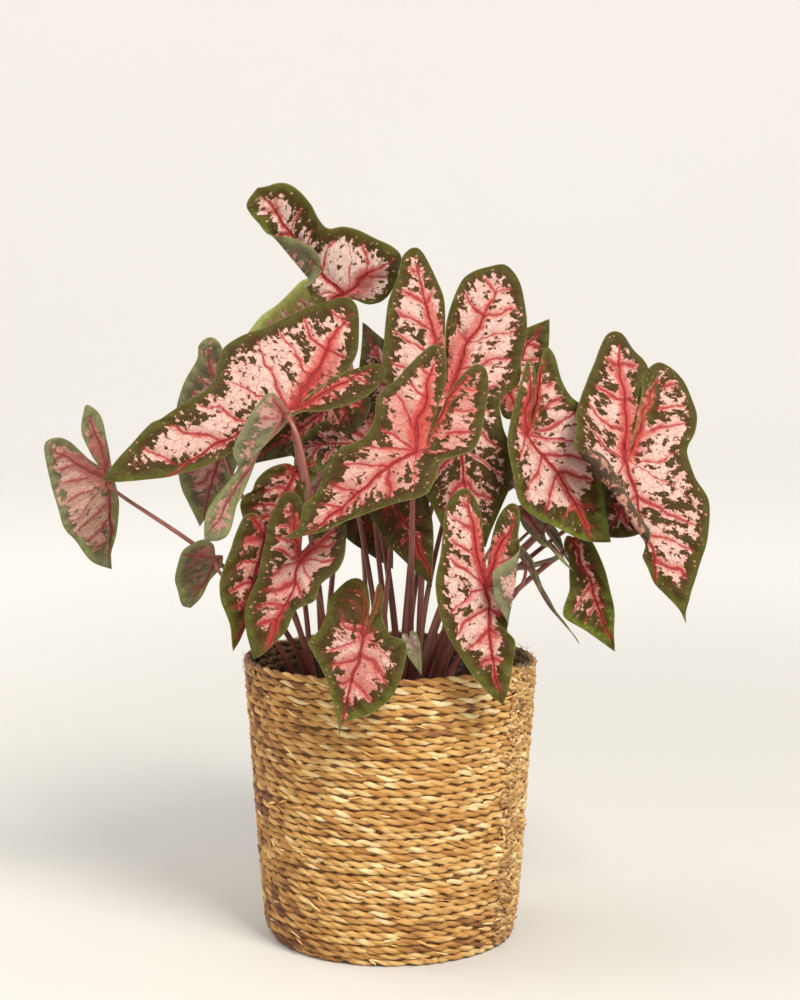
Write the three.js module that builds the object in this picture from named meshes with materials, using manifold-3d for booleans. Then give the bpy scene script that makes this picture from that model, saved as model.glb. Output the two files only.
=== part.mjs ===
// Caladium in its planter: a tuft of mottled, arrow-shaped leaves on slim stems, growing from two tubers
// in the soil of a foil-lined basket of coiled seagrass cord.
// Millimetres, +Z up. The origin is the middle of the basket's underside; -Y is the plant's front.
import * as THREE from "three";
import { mergeVertices } from "three/addons/utils/BufferGeometryUtils.js";
import Module from "manifold-3d";

// ---- driving dimensions --------------------------------------------------------------------------
const GAP = 0.3; // clearance between pieces that touch

const BASKET_HEIGHT = 164.4;
const BASKET_RIM_RADIUS = 85;
const BASKET_FOOT_RADIUS = 74;
const BASKET_CORD = 4.1; // thickness of the coiled wall and floor
const BASKET_SIDES = 48;

const LINER_TOP = 150;
const LINER_WALL = 0.8;

const SOIL_TOP = 131;

const TUBERS = [
  { name: "tuber_main", x: 10, y: -14, radius: 30, height: 30, top: 134 },
  { name: "tuber_left", x: -42, y: -16, radius: 15, height: 20, top: 134 },
];

const TUBER_SIDES = 14;
const TUBER_RINGS = 9;

const BLADE_THICKNESS = 1;
const BLADE_CENTRE = [4, 0]; // the middle of a blade's rings of vertices, which sees its whole margin
const BLADE_RINGS = [0.35, 0.7, 1]; // how far out from the centre each ring lies
const PLAIN_BLADE_RINGS = [0.5, 1];
const LOBE_BEND_RADIUS = 40;
const DROOP_BEND_RADIUS = 120;
const FOLD_BEND_RADIUS = 14;
const STEM_SIDES = 6;
const STEM_STEPS = 8;

// Each leaf: where its stem joins the blade, which way the blade points (heading, dip and roll in
// degrees), how far it is bent, the margin from the tip round the right side, the notch and the left
// side back to the tip, and the stem's foot and its radius at the foot and at the blade.
const LEAVES = [
  {
    name: "big_left",
    joint: [-54, -52, 309],
    aim: [-162, 20, -47],
    fold: [6, 8], lobes: -10, droop: 14,
    margin: [
      110, 16, 89, 26, 72, 32, 63, 31, 34, 35, 23, 46, 15, 53, -6, 54, -35, 59, -57, 60, -64, 53,
      -61, 39, -54, 30, -42, 22, -31, 15, -7, 2, -33, 11, -42, 13, -51, 15, -60, 12, -60, 4, -42, -6,
      -19, -9, -3, -5, 22, -9, 50, -8, 69, -4, 89, 4, 102, 10,
    ],
    centre: [2, -2],
    tuber: "tuber_left",
    foot: [-37, -9],
    stem: [2.2, 1.5],
  },
  {
    name: "top_curl",
    joint: [-30, 40, 372],
    aim: [-147, -47, -116],
    fold: [10, 5], droop: -20,
    margin: [
      91, 1, 81, 16, 64, 19, 48, 17, 38, 18, 32, 26, 17, 35, -2, 42, -14, 34, -22, 21, -20, 9, -9, 3,
      -12, -5, -3, -14, 16, -15, 36, -11, 61, -9, 79, -11, 88, -9,
    ],
    tuber: "tuber_main",
    foot: [5, -9],
    stem: [2.0, 1.3],
  },
  {
    name: "upper_left_back",
    joint: [-34, 64, 342],
    aim: [170, -2, 67],
    margin: [
      56, 0, 41, 11, 19, 19, 0, 14, -6, 2, -9, -8, -6, -20, 3, -36, 15, -40, 26, -31, 35, -22, 45, -14,
    ],
    tuber: "tuber_main",
    foot: [-5, -8],
    stem: [1.7, 1.1],
  },
  {
    name: "left_back",
    joint: [-97, 8, 287],
    aim: [134, 67, 46],
    fold: [-8, -8],
    margin: [
      57, 0, 48, 3, 31, 9, 19, 11, 0, 14, -19, 18, -34, 15, -37, 7, -27, 1, -9, -1, -37, -5, -51, -11,
      -59, -17, -59, -23, -53, -27, -44, -26, -28, -30, -8, -30, 13, -25, 34, -17, 44, -10,
    ],
    tuber: "tuber_left",
    foot: [-45, -5],
    stem: [1.8, 1.1],
  },
  {
    name: "far_left",
    joint: [-160, -22, 265],
    aim: [90, 75, -19],
    fold: [-10, -35],
    margin: [
      53, -1, 45, 1, 30, 4, 11, 6, -4, 4, -27, 1, -41, -2, -48, -9, -45, -12, -34, -15, -20, -10,
      -12, -5, -21, -13, -29, -22, -33, -28, -30, -35, -19, -35, 8, -30, 22, -27, 32, -20, 43, -14,
      48, -9,
    ],
    centre: [-4, 0],
    tuber: "tuber_left",
    foot: [-46, -12],
    stem: [1.7, 1.1],
  },
  {
    name: "small_left",
    joint: [-98, -42, 223],
    aim: [145, 57, 37],
    fold: [-10, -10],
    margin: [
      33, 0, 24, 3, 13, 3, 3, 5, -5, 3, -4, -1, -11, -6, -13, -13, -8, -19, -1, -22, 14, -19, 23, -13,
      32, -6,
    ],
    tuber: "tuber_left",
    foot: [-52, -18],
    stem: [1.6, 1.0],
  },
  {
    name: "hang_twist",
    joint: [-57, -70, 306],
    aim: [-162, 56, 86],
    fold: [-12, -12],
    margin: [
      80, 0, 75, 7, 68, 8, 57, 6, 48, 4, 37, 2, 20, -1, 5, 3, -3, 3, -4, -1, -6, -7, -6, -15, 3, -17,
      16, -17, 31, -15, 37, -6, 45, -7, 58, -8, 69, -7, 75, -4,
    ],
    centre: [30, -4],
    tuber: "tuber_left",
    foot: [-39, -16],
    stem: [1.9, 1.3],
  },
  {
    name: "tall_center",
    joint: [32, 2, 315],
    aim: [-59, 64, 15],
    fold: [6, 6], droop: 10,
    margin: [
      92, -5, 84, 14, 63, 23, 46, 26, 25, 30, 2, 34, -17, 36, -32, 32, -57, 23, -75, 12, -87, 6,
      -91, -2, -86, -8, -67, -10, -51, -9, -28, -6, -8, -2, -25, -8, -44, -16, -63, -25, -72, -32,
      -75, -45, -71, -55, -55, -60, -29, -56, -14, -49, 2, -43, 10, -30, 24, -28, 40, -31, 56, -28,
      70, -19, 83, -10,
    ],
    centre: [8, 2],
    tuber: "tuber_main",
    foot: [16, -6],
    stem: [2.0, 1.4],
  },
  {
    name: "front_center",
    joint: [12, -80, 286],
    aim: [-158, 30, -48],
    fold: [8, 8], lobes: -6, droop: 12,
    margin: [
      83, 6, 73, 7, 63, 14, 53, 16, 40, 24, 28, 27, 15, 24, 4, 29, -5, 39, -18, 41, -31, 45, -47, 49,
      -52, 47, -52, 39, -41, 28, -29, 17, -12, 3, -30, 13, -44, 20, -57, 26, -64, 26, -66, 20, -59, 9,
      -42, -7, -28, -18, -19, -16, -10, -11, -1, -15, 11, -22, 24, -17, 42, -9, 60, -5, 76, 1,
    ],
    centre: [-2, -4],
    tuber: "tuber_main",
    foot: [11, -23],
    stem: [2.0, 1.3],
    seat: 0.2,
  },
  {
    name: "mid_left_dark",
    joint: [-11, 6, 287],
    aim: [-164, 6, -39],
    fold: [8, 8],
    margin: [
      52, -1, 37, 10, 25, 18, 14, 19, 5, 18, -4, 25, -12, 27, -13, 12, -4, 1, -7, -13, 1, -25, 20, -25,
      36, -21, 46, -13,
    ],
    tuber: "tuber_main",
    foot: [-1, -16],
    stem: [1.7, 1.1],
  },
  {
    name: "right_center",
    joint: [78, -18, 293],
    aim: [-37, 46, 29],
    fold: [10, 8], droop: 12,
    margin: [
      77, -8, 74, -2, 67, 9, 55, 19, 42, 30, 32, 32, 19, 26, -1, 15, -16, 0, -28, -14, -40, -25,
      -35, -23, -23, -16, -13, -10, -5, -4, -14, -15, -27, -31, -38, -44, -35, -44, -18, -37, -6, -35,
      6, -37, 23, -32, 44, -22, 61, -14,
    ],
    centre: [4, 4],
    tuber: "tuber_main",
    foot: [14, -14],
    stem: [1.9, 1.3],
    sweep: [0.4, 0.42],
    lean: [0.15, 0.1, 1],
  },
  {
    name: "right_big",
    joint: [131, -32, 278],
    aim: [-48, 62, 13],
    fold: [10, 10], lobes: -8, droop: 10,
    margin: [
      96, -12, 85, -9, 70, -6, 56, -4, 46, -3, 30, 8, 6, 22, -7, 30, -22, 28, -38, 15, -60, -6,
      -71, -16, -78, -24, -77, -32, -68, -39, -56, -37, -41, -29, -21, -17, -7, -8, -19, -19, -35, -36,
      -46, -49, -49, -55, -40, -58, -20, -57, -7, -50, 2, -40, 16, -40, 32, -44, 51, -37, 68, -25,
      81, -16,
    ],
    centre: [0, -2],
    tuber: "tuber_main",
    foot: [21, -21],
    stem: [2.1, 1.4],
    sweep: [0.3, 0.36],
  },
  {
    name: "right_behind",
    joint: [149, 2, 273],
    aim: [-145, 52, -44],
    margin: [
      51, 0, 40, 9, 26, 18, 13, 23, -1, 20, -7, 12, -2, 3, -12, 0, -8, -11, 7, -18, 24, -20, 39, -15,
      47, -7,
    ],
    tuber: "tuber_main",
    foot: [25, -9],
    stem: [1.7, 1.1],
  },
  {
    name: "lower_right",
    joint: [105, -5, 229],
    aim: [-36, 65, 62],
    fold: [12, 30],
    margin: [
      67, 0, 58, 6, 50, 12, 40, 21, 34, 20, 26, 13, 19, 10, 8, 6, 0, 6, -5, 2, -3, -1, -3, -7, 4, -11,
      13, -12, 28, -11, 42, -9, 55, -4,
    ],
    centre: [8, -4],
    tuber: "tuber_main",
    foot: [29, -18],
    stem: [1.8, 1.2],
  },
  {
    name: "front_low",
    joint: [51, -84, 218],
    aim: [-62, 74, 13],
    fold: [10, 10], lobes: -8, droop: 8,
    margin: [
      67, -3, 58, 6, 38, 19, 22, 28, 2, 30, -24, 22, -44, 15, -50, 9, -52, 3, -48, -2, -38, -5, -20, -3,
      -6, -1, -18, -6, -34, -13, -41, -20, -39, -25, -31, -25, -17, -20, 4, -12, 17, -10, 33, -13,
      48, -10, 59, -7,
    ],
    centre: [14, 4],
    tuber: "tuber_main",
    foot: [17, -30],
    stem: [1.8, 1.2],
  },
  {
    name: "center_small",
    joint: [-14, -88, 189],
    aim: [-121, 64, -42],
    fold: [8, 8], lobes: -25,
    margin: [
      48, 0, 39, 6, 28, 15, 16, 27, 12, 29, 4, 25, -6, 23, -20, 22, -31, 16, -36, 9, -32, 4, -19, 2,
      -6, 0, -20, -1, -32, -3, -36, -5, -28, -7, -16, -7, -4, -13, -2, -23, 12, -25, 29, -22, 40, -13,
      46, -4,
    ],
    tuber: "tuber_main",
    foot: [3, -27],
    stem: [1.7, 1.1],
  },
  {
    name: "left_front",
    joint: [-48, -72, 226],
    aim: [-139, 55, -21],
    fold: [8, 10], droop: 8,
    margin: [
      58, 4, 53, 8, 40, 17, 30, 20, 14, 20, -2, 25, -20, 29, -32, 29, -36, 25, -34, 18, -23, 11, -7, 4,
      -19, 3, -28, -1, -31, -9, -25, -18, -14, -23, -2, -25, 8, -18, 17, -18, 26, -10, 38, -9, 52, -1,
    ],
    tuber: "tuber_left",
    foot: [-33, -22],
    stem: [1.8, 1.1],
  },
  {
    name: "left_front_back",
    joint: [-69, -48, 237],
    aim: [-124, 64, -56],
    fold: [8, 8],
    margin: [
      66, 0, 59, 3, 52, 7, 46, 12, 41, 16, 33, 19, 24, 19, 13, 18, 7, 18, -2, 17, -7, 16, -10, 13,
      -11, 9, -8, 4, -5, 1, -13, -1, -18, -6, -18, -11, -10, -14, 3, -13, 17, -11, 32, -8, 47, -4,
      59, -2,
    ],
    tuber: "tuber_left",
    foot: [-41, -23],
    stem: [1.8, 1.2],
  },
  {
    name: "narrow_edge",
    joint: [74, -46, 223],
    aim: [-30, 53, -24],
    fold: [12, 12],
    plain: [55, 34, 16],
    tuber: "tuber_main",
    foot: [26, -30],
    stem: [1.7, 1.1],
  },
  {
    name: "tiny_rolled",
    joint: [11, -72, 184],
    aim: [-51, 61, 49],
    fold: [30, 30],
    plain: [21, 10, 5],
    tuber: "tuber_main",
    foot: [7, -35],
    stem: [1.5, 0.9],
  },
  {
    name: "back_low_center",
    joint: [-21, 32, 249],
    aim: [-21, 59, 72],
    fold: [8, 8],
    plain: [46, 36, 14],
    tuber: "tuber_main",
    foot: [-12, -13],
    stem: [1.7, 1.1],
  },
  {
    name: "center_low_dark",
    joint: [3, -16, 255],
    aim: [-26, 65, 62],
    fold: [8, 8],
    plain: [54, 34, 14],
    tuber: "tuber_main",
    foot: [-6, -24],
    stem: [1.7, 1.1],
  },
  {
    name: "right_top_dark",
    joint: [69, 48, 317],
    aim: [40, -48, 69],
    fold: [6, 6],
    plain: [52, 44, 18],
    tuber: "tuber_main",
    foot: [15, 3],
    stem: [1.7, 1.1],
  },
  {
    name: "right_low_fold",
    joint: [73, 44, 257],
    aim: [-16, 54, -2],
    fold: [12, 12],
    plain: [60, 40, 18],
    tuber: "tuber_main",
    foot: [27, 0],
    stem: [1.8, 1.2],
  },
  {
    name: "back_mid",
    joint: [5, 48, 308],
    aim: [143, -58, -88],
    fold: [8, 8],
    plain: [54, 44, 18],
    tuber: "tuber_main",
    foot: [6, -1],
    stem: [1.7, 1.1],
  },
  {
    name: "back_right",
    joint: [42, 86, 286],
    aim: [62, 38, 8],
    fold: [8, 8], droop: 14,
    plain: [78, 62, 26],
    tuber: "tuber_main",
    foot: [9, 10],
    stem: [1.9, 1.3],
  },
  {
    name: "back_left",
    joint: [-30, 76, 285],
    aim: [128, 44, -6],
    fold: [8, 8], droop: 14,
    plain: [74, 58, 24],
    tuber: "tuber_main",
    foot: [-2, 3],
    stem: [1.9, 1.2],
  },
];

const DEGREE = Math.PI / 180;

// ---- materials -----------------------------------------------------------------------------------
function finish(color, roughness) {
  return new THREE.MeshStandardMaterial({ color, roughness, metalness: 0 });
}

const SEAGRASS = finish("#c69a60", 0.85);
const FOIL = finish("#22170f", 0.3);
const SOIL = finish("#2b1d13", 0.95);
const TUBER_SKIN = finish("#6b4a33", 0.9);
const BLADE_PINK = finish("#c98a7c", 0.5);
const STEM_MAUVE = finish("#7d4540", 0.5);

// ---- basket, liner, soil and tubers ---------------------------------------------------------
function turned(profile, sides) {
  const points = profile.map(([radius, z]) => new THREE.Vector2(radius, z));
  return new THREE.LatheGeometry(points, sides).rotateX(Math.PI / 2);
}

// The basket's outer radius at height z: the wall leans out evenly from foot to rim.
function basketRadius(z) {
  return BASKET_FOOT_RADIUS + ((BASKET_RIM_RADIUS - BASKET_FOOT_RADIUS) * z) / BASKET_HEIGHT;
}

function basketGeometry() {
  const half = BASKET_CORD / 2;
  const inner = (z) => basketRadius(z) - BASKET_CORD;
  return turned(
    [
      [0, 0],
      [BASKET_FOOT_RADIUS - half, 0],
      [basketRadius(half), half],
      [basketRadius(BASKET_HEIGHT / 2), BASKET_HEIGHT / 2],
      [basketRadius(BASKET_HEIGHT - half), BASKET_HEIGHT - half],
      [BASKET_RIM_RADIUS - half, BASKET_HEIGHT],
      [inner(BASKET_HEIGHT - half), BASKET_HEIGHT - half],
      [inner(BASKET_HEIGHT / 2), BASKET_HEIGHT / 2],
      [inner(BASKET_CORD), BASKET_CORD],
      [0, BASKET_CORD],
    ],
    BASKET_SIDES,
  );
}

const LINER_FLOOR = BASKET_CORD + GAP;

// The foil follows the inside of the basket, its wall standing a little away from the cords.
function linerRadius(z) {
  return basketRadius(z) - BASKET_CORD - 3 * GAP;
}

function linerGeometry() {
  const outer = linerRadius;
  return turned(
    [
      [0, LINER_FLOOR],
      [outer(LINER_FLOOR), LINER_FLOOR],
      [outer(LINER_TOP), LINER_TOP],
      [outer(LINER_TOP) - LINER_WALL, LINER_TOP],
      [outer(LINER_FLOOR) - LINER_WALL, LINER_FLOOR + LINER_WALL],
      [0, LINER_FLOOR + LINER_WALL],
    ],
    BASKET_SIDES,
  );
}

// A tuber is a flattened ball whose crown just clears the soil.
function tuberGeometry(tuber, grow) {
  return new THREE.SphereGeometry(1, TUBER_SIDES, TUBER_RINGS)
    .rotateX(Math.PI / 2)
    .scale(tuber.radius + grow, tuber.radius + grow, tuber.height / 2 + grow)
    .translate(tuber.x, tuber.y, tuber.top - tuber.height / 2);
}

// The soil fills the liner, with a socket round each tuber that is open at the top.
function soilGeometry(wasm) {
  const inner = (z) => linerRadius(z) - LINER_WALL - 2 * GAP;
  const floor = LINER_FLOOR + LINER_WALL + GAP;
  const fill = turned(
    [
      [0, floor],
      [inner(floor), floor],
      [inner(SOIL_TOP), SOIL_TOP],
      [0, SOIL_TOP],
    ],
    BASKET_SIDES,
  );
  let soil = solid(wasm, fill);
  for (const tuber of TUBERS) soil = soil.subtract(solid(wasm, tuberGeometry(tuber, GAP)));
  return geometryOf(soil);
}

// ---- solids for cutting --------------------------------------------------------------------------
function solid(wasm, geometry) {
  const bare = geometry.clone();
  bare.deleteAttribute("normal");
  bare.deleteAttribute("uv");
  const merged = mergeVertices(bare, 1e-4);
  const vertProperties = new Float32Array(merged.attributes.position.array);
  const triVerts = new Uint32Array(merged.index.array);
  return new wasm.Manifold(new wasm.Mesh({ numProp: 3, vertProperties, triVerts }));
}

function geometryOf(manifold) {
  const mesh = manifold.getMesh();
  return indexed(Array.from(mesh.vertProperties), Array.from(mesh.triVerts));
}

function indexed(positions, indices) {
  const geometry = new THREE.BufferGeometry();
  geometry.setAttribute("position", new THREE.Float32BufferAttribute(positions, 3));
  geometry.setIndex(indices);
  geometry.computeVertexNormals();
  return geometry;
}

// ---- leaves --------------------------------------------------------------------------------------
// A blade is drawn flat, with u along its midrib from the stem to the tip, v to the right of it and
// h out of its upper face, and is then bent about a few straight lines.

// Rolls the part of the sheet to the left of a line through the joint with direction `turn` round a
// cylinder of the given radius, until it has turned by `angle` towards the upper face.
function bend([u, v, h], line) {
  const turn = line.turn * DEGREE;
  const angle = Math.abs(line.angle) * DEGREE;
  const side = Math.sign(line.angle);
  const along = u * Math.cos(turn) + v * Math.sin(turn);
  const across = v * Math.cos(turn) - u * Math.sin(turn);
  if (across <= 0) return [u, v, h];
  const rolled = Math.min(across / line.radius, angle);
  const straight = across - line.radius * rolled;
  const inner = line.radius - h * side;
  const newAcross = inner * Math.sin(rolled) + straight * Math.cos(rolled);
  const newHeight = line.radius - inner * Math.cos(rolled) + straight * Math.sin(rolled);
  return [
    along * Math.cos(turn) - newAcross * Math.sin(turn),
    along * Math.sin(turn) + newAcross * Math.cos(turn),
    newHeight * side,
  ];
}

// The lines a leaf is bent about: the fold along the midrib, the rise of the back lobes and the droop
// of the tip.
function bendLines(leaf) {
  const [foldLeft, foldRight] = leaf.fold ?? [0, 0];
  const lines = [
    { turn: 0, radius: FOLD_BEND_RADIUS, angle: foldRight },
    { turn: 180, radius: FOLD_BEND_RADIUS, angle: foldLeft },
    { turn: 90, radius: LOBE_BEND_RADIUS, angle: leaf.lobes ?? 0 },
    { turn: -90, radius: DROOP_BEND_RADIUS, angle: -(leaf.droop ?? 0) },
  ];
  return lines.filter((line) => line.angle !== 0);
}

// The directions of u, v and h in space: heading is the compass direction of the tip, dip how far it
// points below the horizontal, and roll how far the blade is turned about its midrib.
function leafAxes(leaf) {
  const [heading, dip, roll] = leaf.aim.map((angle) => angle * DEGREE);
  const plan = new THREE.Vector3(Math.cos(heading), Math.sin(heading), 0);
  const tip = plan.clone().multiplyScalar(Math.cos(dip)).setZ(-Math.sin(dip));
  const level = plan.clone().multiplyScalar(Math.sin(dip)).setZ(Math.cos(dip));
  const upper = level.clone().multiplyScalar(Math.cos(roll));
  upper.addScaledVector(new THREE.Vector3().crossVectors(tip, level), Math.sin(roll));
  return { tip, side: new THREE.Vector3().crossVectors(tip, upper), upper };
}

function leafPlacer(leaf) {
  const { tip, side, upper } = leafAxes(leaf);
  const lines = bendLines(leaf);
  return (u, v, h) => {
    const bent = lines.reduce(bend, [u, v, h]);
    const point = new THREE.Vector3(...leaf.joint).addScaledVector(tip, bent[0]);
    return point.addScaledVector(side, bent[1]).addScaledVector(upper, bent[2]);
  };
}

// The margin of a plain arrow-shaped blade from its length, greatest width and the reach of its lobes.
function plainMargin([length, width, back]) {
  const half = [
    [0.72 * length, 0.2 * width],
    [0.38 * length, 0.42 * width],
    [0.02 * length, 0.5 * width],
    [-0.6 * back, 0.42 * width],
    [-back, 0.24 * width],
    [-0.75 * back, 0.08 * width],
  ];
  const mirrored = half.map(([u, v]) => [u, -v]).reverse();
  return [[length, 0], ...half, [-0.12 * back, 0], ...mirrored];
}

function margin(leaf) {
  if (leaf.plain) return plainMargin(leaf.plain);
  const points = [];
  for (let i = 0; i < leaf.margin.length; i += 2) points.push([leaf.margin[i], leaf.margin[i + 1]]);
  return points;
}

// A closed sheet: rings of vertices from the middle of the blade to its margin, on both faces.
function bladeGeometry(leaf) {
  const place = leafPlacer(leaf);
  const edge = margin(leaf);
  const rings = leaf.margin ? BLADE_RINGS : PLAIN_BLADE_RINGS;
  const [middleU, middleV] = leaf.centre ?? BLADE_CENTRE;
  const count = edge.length;
  const positions = [];
  for (const h of [BLADE_THICKNESS / 2, -BLADE_THICKNESS / 2]) {
    positions.push(...place(middleU, middleV, h).toArray());
    for (const ring of rings) {
      for (const [u, v] of edge) {
        const point = place(middleU + (u - middleU) * ring, middleV + (v - middleV) * ring, h);
        positions.push(...point.toArray());
      }
    }
  }
  const faceSize = 1 + rings.length * count;
  const onRing = (ring, i) => (ring === 0 ? 0 : 1 + (ring - 1) * count + (i % count));
  const vertex = (face, ring, i) => face * faceSize + onRing(ring, i);
  const indices = [];
  const triangle = (face, a, b, c) => indices.push(...(face === 0 ? [a, b, c] : [a, c, b]));
  for (let i = 0; i < count; i++) {
    for (const face of [0, 1]) {
      triangle(face, vertex(face, 0, 0), vertex(face, 1, i + 1), vertex(face, 1, i));
      for (let ring = 1; ring < rings.length; ring++) {
        const corners = [vertex(face, ring, i), vertex(face, ring, i + 1)];
        const outer = [vertex(face, ring + 1, i), vertex(face, ring + 1, i + 1)];
        triangle(face, corners[0], corners[1], outer[1]);
        triangle(face, corners[0], outer[1], outer[0]);
      }
    }
    const upper = [vertex(0, rings.length, i), vertex(0, rings.length, i + 1)];
    const lower = [vertex(1, rings.length, i), vertex(1, rings.length, i + 1)];
    indices.push(upper[0], upper[1], lower[1], upper[0], lower[1], lower[0]);
  }
  return indexed(positions, indices);
}

// The stem rises from its tuber, arches over and meets the underside of its blade square on.
function stemCurve(leaf) {
  const { upper } = leafAxes(leaf);
  const tuber = TUBERS.find((each) => each.name === leaf.tuber);
  const [x, y] = leaf.foot;
  const reach = 1 - ((x - tuber.x) ** 2 + (y - tuber.y) ** 2) / tuber.radius ** 2;
  const crown = tuber.top - (tuber.height / 2) * (1 - Math.sqrt(Math.max(reach, 0)));
  const foot = new THREE.Vector3(x, y, Math.max(crown, SOIL_TOP) + 3 * GAP);
  const below = BLADE_THICKNESS / 2 + (leaf.seat ?? 2 * GAP);
  const head = new THREE.Vector3(...leaf.joint).addScaledVector(upper, -below);
  const span = foot.distanceTo(head);
  const [rise, arch] = leaf.sweep ?? [0.4, 0.22];
  const lean = new THREE.Vector3(...(leaf.lean ?? [0, 0, 1])).normalize();
  const first = foot.clone().addScaledVector(lean, rise * span);
  const last = head.clone().addScaledVector(upper, -arch * span);
  return new THREE.CubicBezierCurve3(foot, first, last, head);
}

function stemGeometry(leaf) {
  const curve = stemCurve(leaf);
  const frames = curve.computeFrenetFrames(STEM_STEPS, false);
  const [footRadius, headRadius] = leaf.stem;
  const positions = [];
  for (let step = 0; step <= STEM_STEPS; step++) {
    const t = step / STEM_STEPS;
    const middle = curve.getPointAt(t);
    const radius = footRadius + (headRadius - footRadius) * t;
    for (let i = 0; i < STEM_SIDES; i++) {
      const angle = (2 * Math.PI * i) / STEM_SIDES;
      const point = middle.clone();
      point.addScaledVector(frames.normals[step], radius * Math.cos(angle));
      point.addScaledVector(frames.binormals[step], radius * Math.sin(angle));
      positions.push(...point.toArray());
    }
  }
  const ends = [positions.length / 3, positions.length / 3 + 1];
  positions.push(...curve.getPointAt(0).toArray(), ...curve.getPointAt(1).toArray());
  const indices = [];
  const vertex = (step, i) => step * STEM_SIDES + (i % STEM_SIDES);
  for (let i = 0; i < STEM_SIDES; i++) {
    for (let step = 0; step < STEM_STEPS; step++) {
      const here = [vertex(step, i), vertex(step, i + 1)];
      const next = [vertex(step + 1, i), vertex(step + 1, i + 1)];
      indices.push(here[0], here[1], next[1], here[0], next[1], next[0]);
    }
    indices.push(ends[0], vertex(0, i + 1), vertex(0, i));
    indices.push(ends[1], vertex(STEM_STEPS, i), vertex(STEM_STEPS, i + 1));
  }
  return indexed(positions, indices);
}

// ---- assembly ------------------------------------------------------------------------------------
const wasm = await Module();
wasm.setup();

const plant = new THREE.Group();

function add(name, geometry, material) {
  const mesh = new THREE.Mesh(geometry, material);
  mesh.name = name;
  plant.add(mesh);
}

add("basket", basketGeometry(), SEAGRASS);
add("basket_liner", linerGeometry(), FOIL);
add("soil", soilGeometry(wasm), SOIL);
for (const tuber of TUBERS) add(tuber.name, tuberGeometry(tuber, 0), TUBER_SKIN);
for (const leaf of LEAVES) {
  add(`leaf_${leaf.name}`, bladeGeometry(leaf), BLADE_PINK);
  add(`stem_${leaf.name}`, stemGeometry(leaf), STEM_MAUVE);
}

export default plant;
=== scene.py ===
"""Caladium in its planter: mottled pink and green leaves on slim stems, growing from two tubers in the
soil of a foil-lined basket of coiled seagrass cord.

Lengths are in millimetres until a mesh is made, and +Z is up. The origin is the middle of the basket's
underside; -Y is the plant's front.
"""

import math

import bpy
import numpy as np
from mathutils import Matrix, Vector


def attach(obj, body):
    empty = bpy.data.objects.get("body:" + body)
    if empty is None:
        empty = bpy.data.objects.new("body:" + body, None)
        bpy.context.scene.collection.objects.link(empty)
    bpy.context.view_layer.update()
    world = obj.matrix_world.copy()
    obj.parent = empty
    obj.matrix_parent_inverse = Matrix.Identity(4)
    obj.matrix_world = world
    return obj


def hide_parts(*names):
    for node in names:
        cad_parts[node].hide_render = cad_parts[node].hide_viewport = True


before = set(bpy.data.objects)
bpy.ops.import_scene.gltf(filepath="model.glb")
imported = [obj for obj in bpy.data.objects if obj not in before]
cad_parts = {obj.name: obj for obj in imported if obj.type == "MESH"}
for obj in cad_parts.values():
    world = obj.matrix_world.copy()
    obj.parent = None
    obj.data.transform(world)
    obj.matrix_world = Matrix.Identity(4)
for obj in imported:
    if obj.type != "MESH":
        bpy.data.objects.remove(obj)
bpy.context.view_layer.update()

# ---- sizes ---------------------------------------------------------------------------------------
MM = 0.001

BASKET_HEIGHT = 164.4
BASKET_RIM_RADIUS = 85.0
BASKET_FOOT_RADIUS = 74.0
FOOT_DRAWN_IN = 3.0
MIDDLE_RADIUS = 80  # turns a length laid round the wall into an angle
CORD = 4.1  # thickness of the coiled cord
TWIST = 18.0  # length in which the two strands of the cord go once round each other
CORD_STEP = 2.4  # length of cord between two rings of vertices
FIRST_TURN = 0.55  # of the spiral on the floor, where the cord begins
COURSE_SWAY, COURSE_WAVE = 0.35, 0.45  # how far the courses wander, inwards and in height
CORD_HEIGHTS = 4096  # random heights for what changes along the whole cord
STRAND_SIDES = 8
STRAND_RADIUS = 1.42
STRAND_OFFSET = 0.95  # from the middle of the cord to the middle of a strand
CORD_END_AZIMUTH = math.radians(-32.0)
FRAYED_AZIMUTH = math.radians(184.0)  # where the rim is worn and fibres stand out, from +X
FLAKES, TUCKED_ENDS, STRAY_FIBRES = 460, 260, 560

LINER_TOP = 150.0
LINER_FLOOR = 7
LINER_FILM = 0.35
LINER_RADIUS_AT_SOIL = 75.3
SOIL_TOP = 131.0
SOIL_FLOOR = 9.0
SOIL_FOOT_RADIUS = 67

TUBERS = {
    "tuber_main": {"middle": (10, -14), "radius": 30, "height": 30, "top": 134},
    "tuber_left": {"middle": (-42, -16), "radius": 15, "height": 20, "top": 134},
}

BLADE_THICKNESS = 0.6
MARGIN_THICKNESS = 0.35  # at the very edge, as a share of the rest
ROLL_OPENS = 8  # length in which a roll opens out, either way
LOBE_BEND_RADIUS = 40
DROOP_BEND_RADIUS = 120
FOLD_BEND_RADIUS = 14
MARGIN_STEP = 1.9  # distance between vertices round a blade
BLADE_RINGS = 26
RUFFLE, RUFFLE_LENGTH = 1.5, 13  # how far the margin waves up and down, and over what length
SWELL, SWELL_WIDTH = 2.0, 26  # how far the rest of a blade rises and falls, and over what width
STEM_SIDES = 12
STEM_RINGS = 44
STEM_CLEARANCE = 0.9  # between the foot of a stem's curve and its tuber or the soil
STEM_SINK = 4  # how far the stem itself goes on down
STEM_SCALE = (1.1, 0.92)  # times the radii of the table
SHEATH = 1.1  # how much wider a stem is at its very foot
NECK = 0.35  # how much wider it is just under the blade


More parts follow.
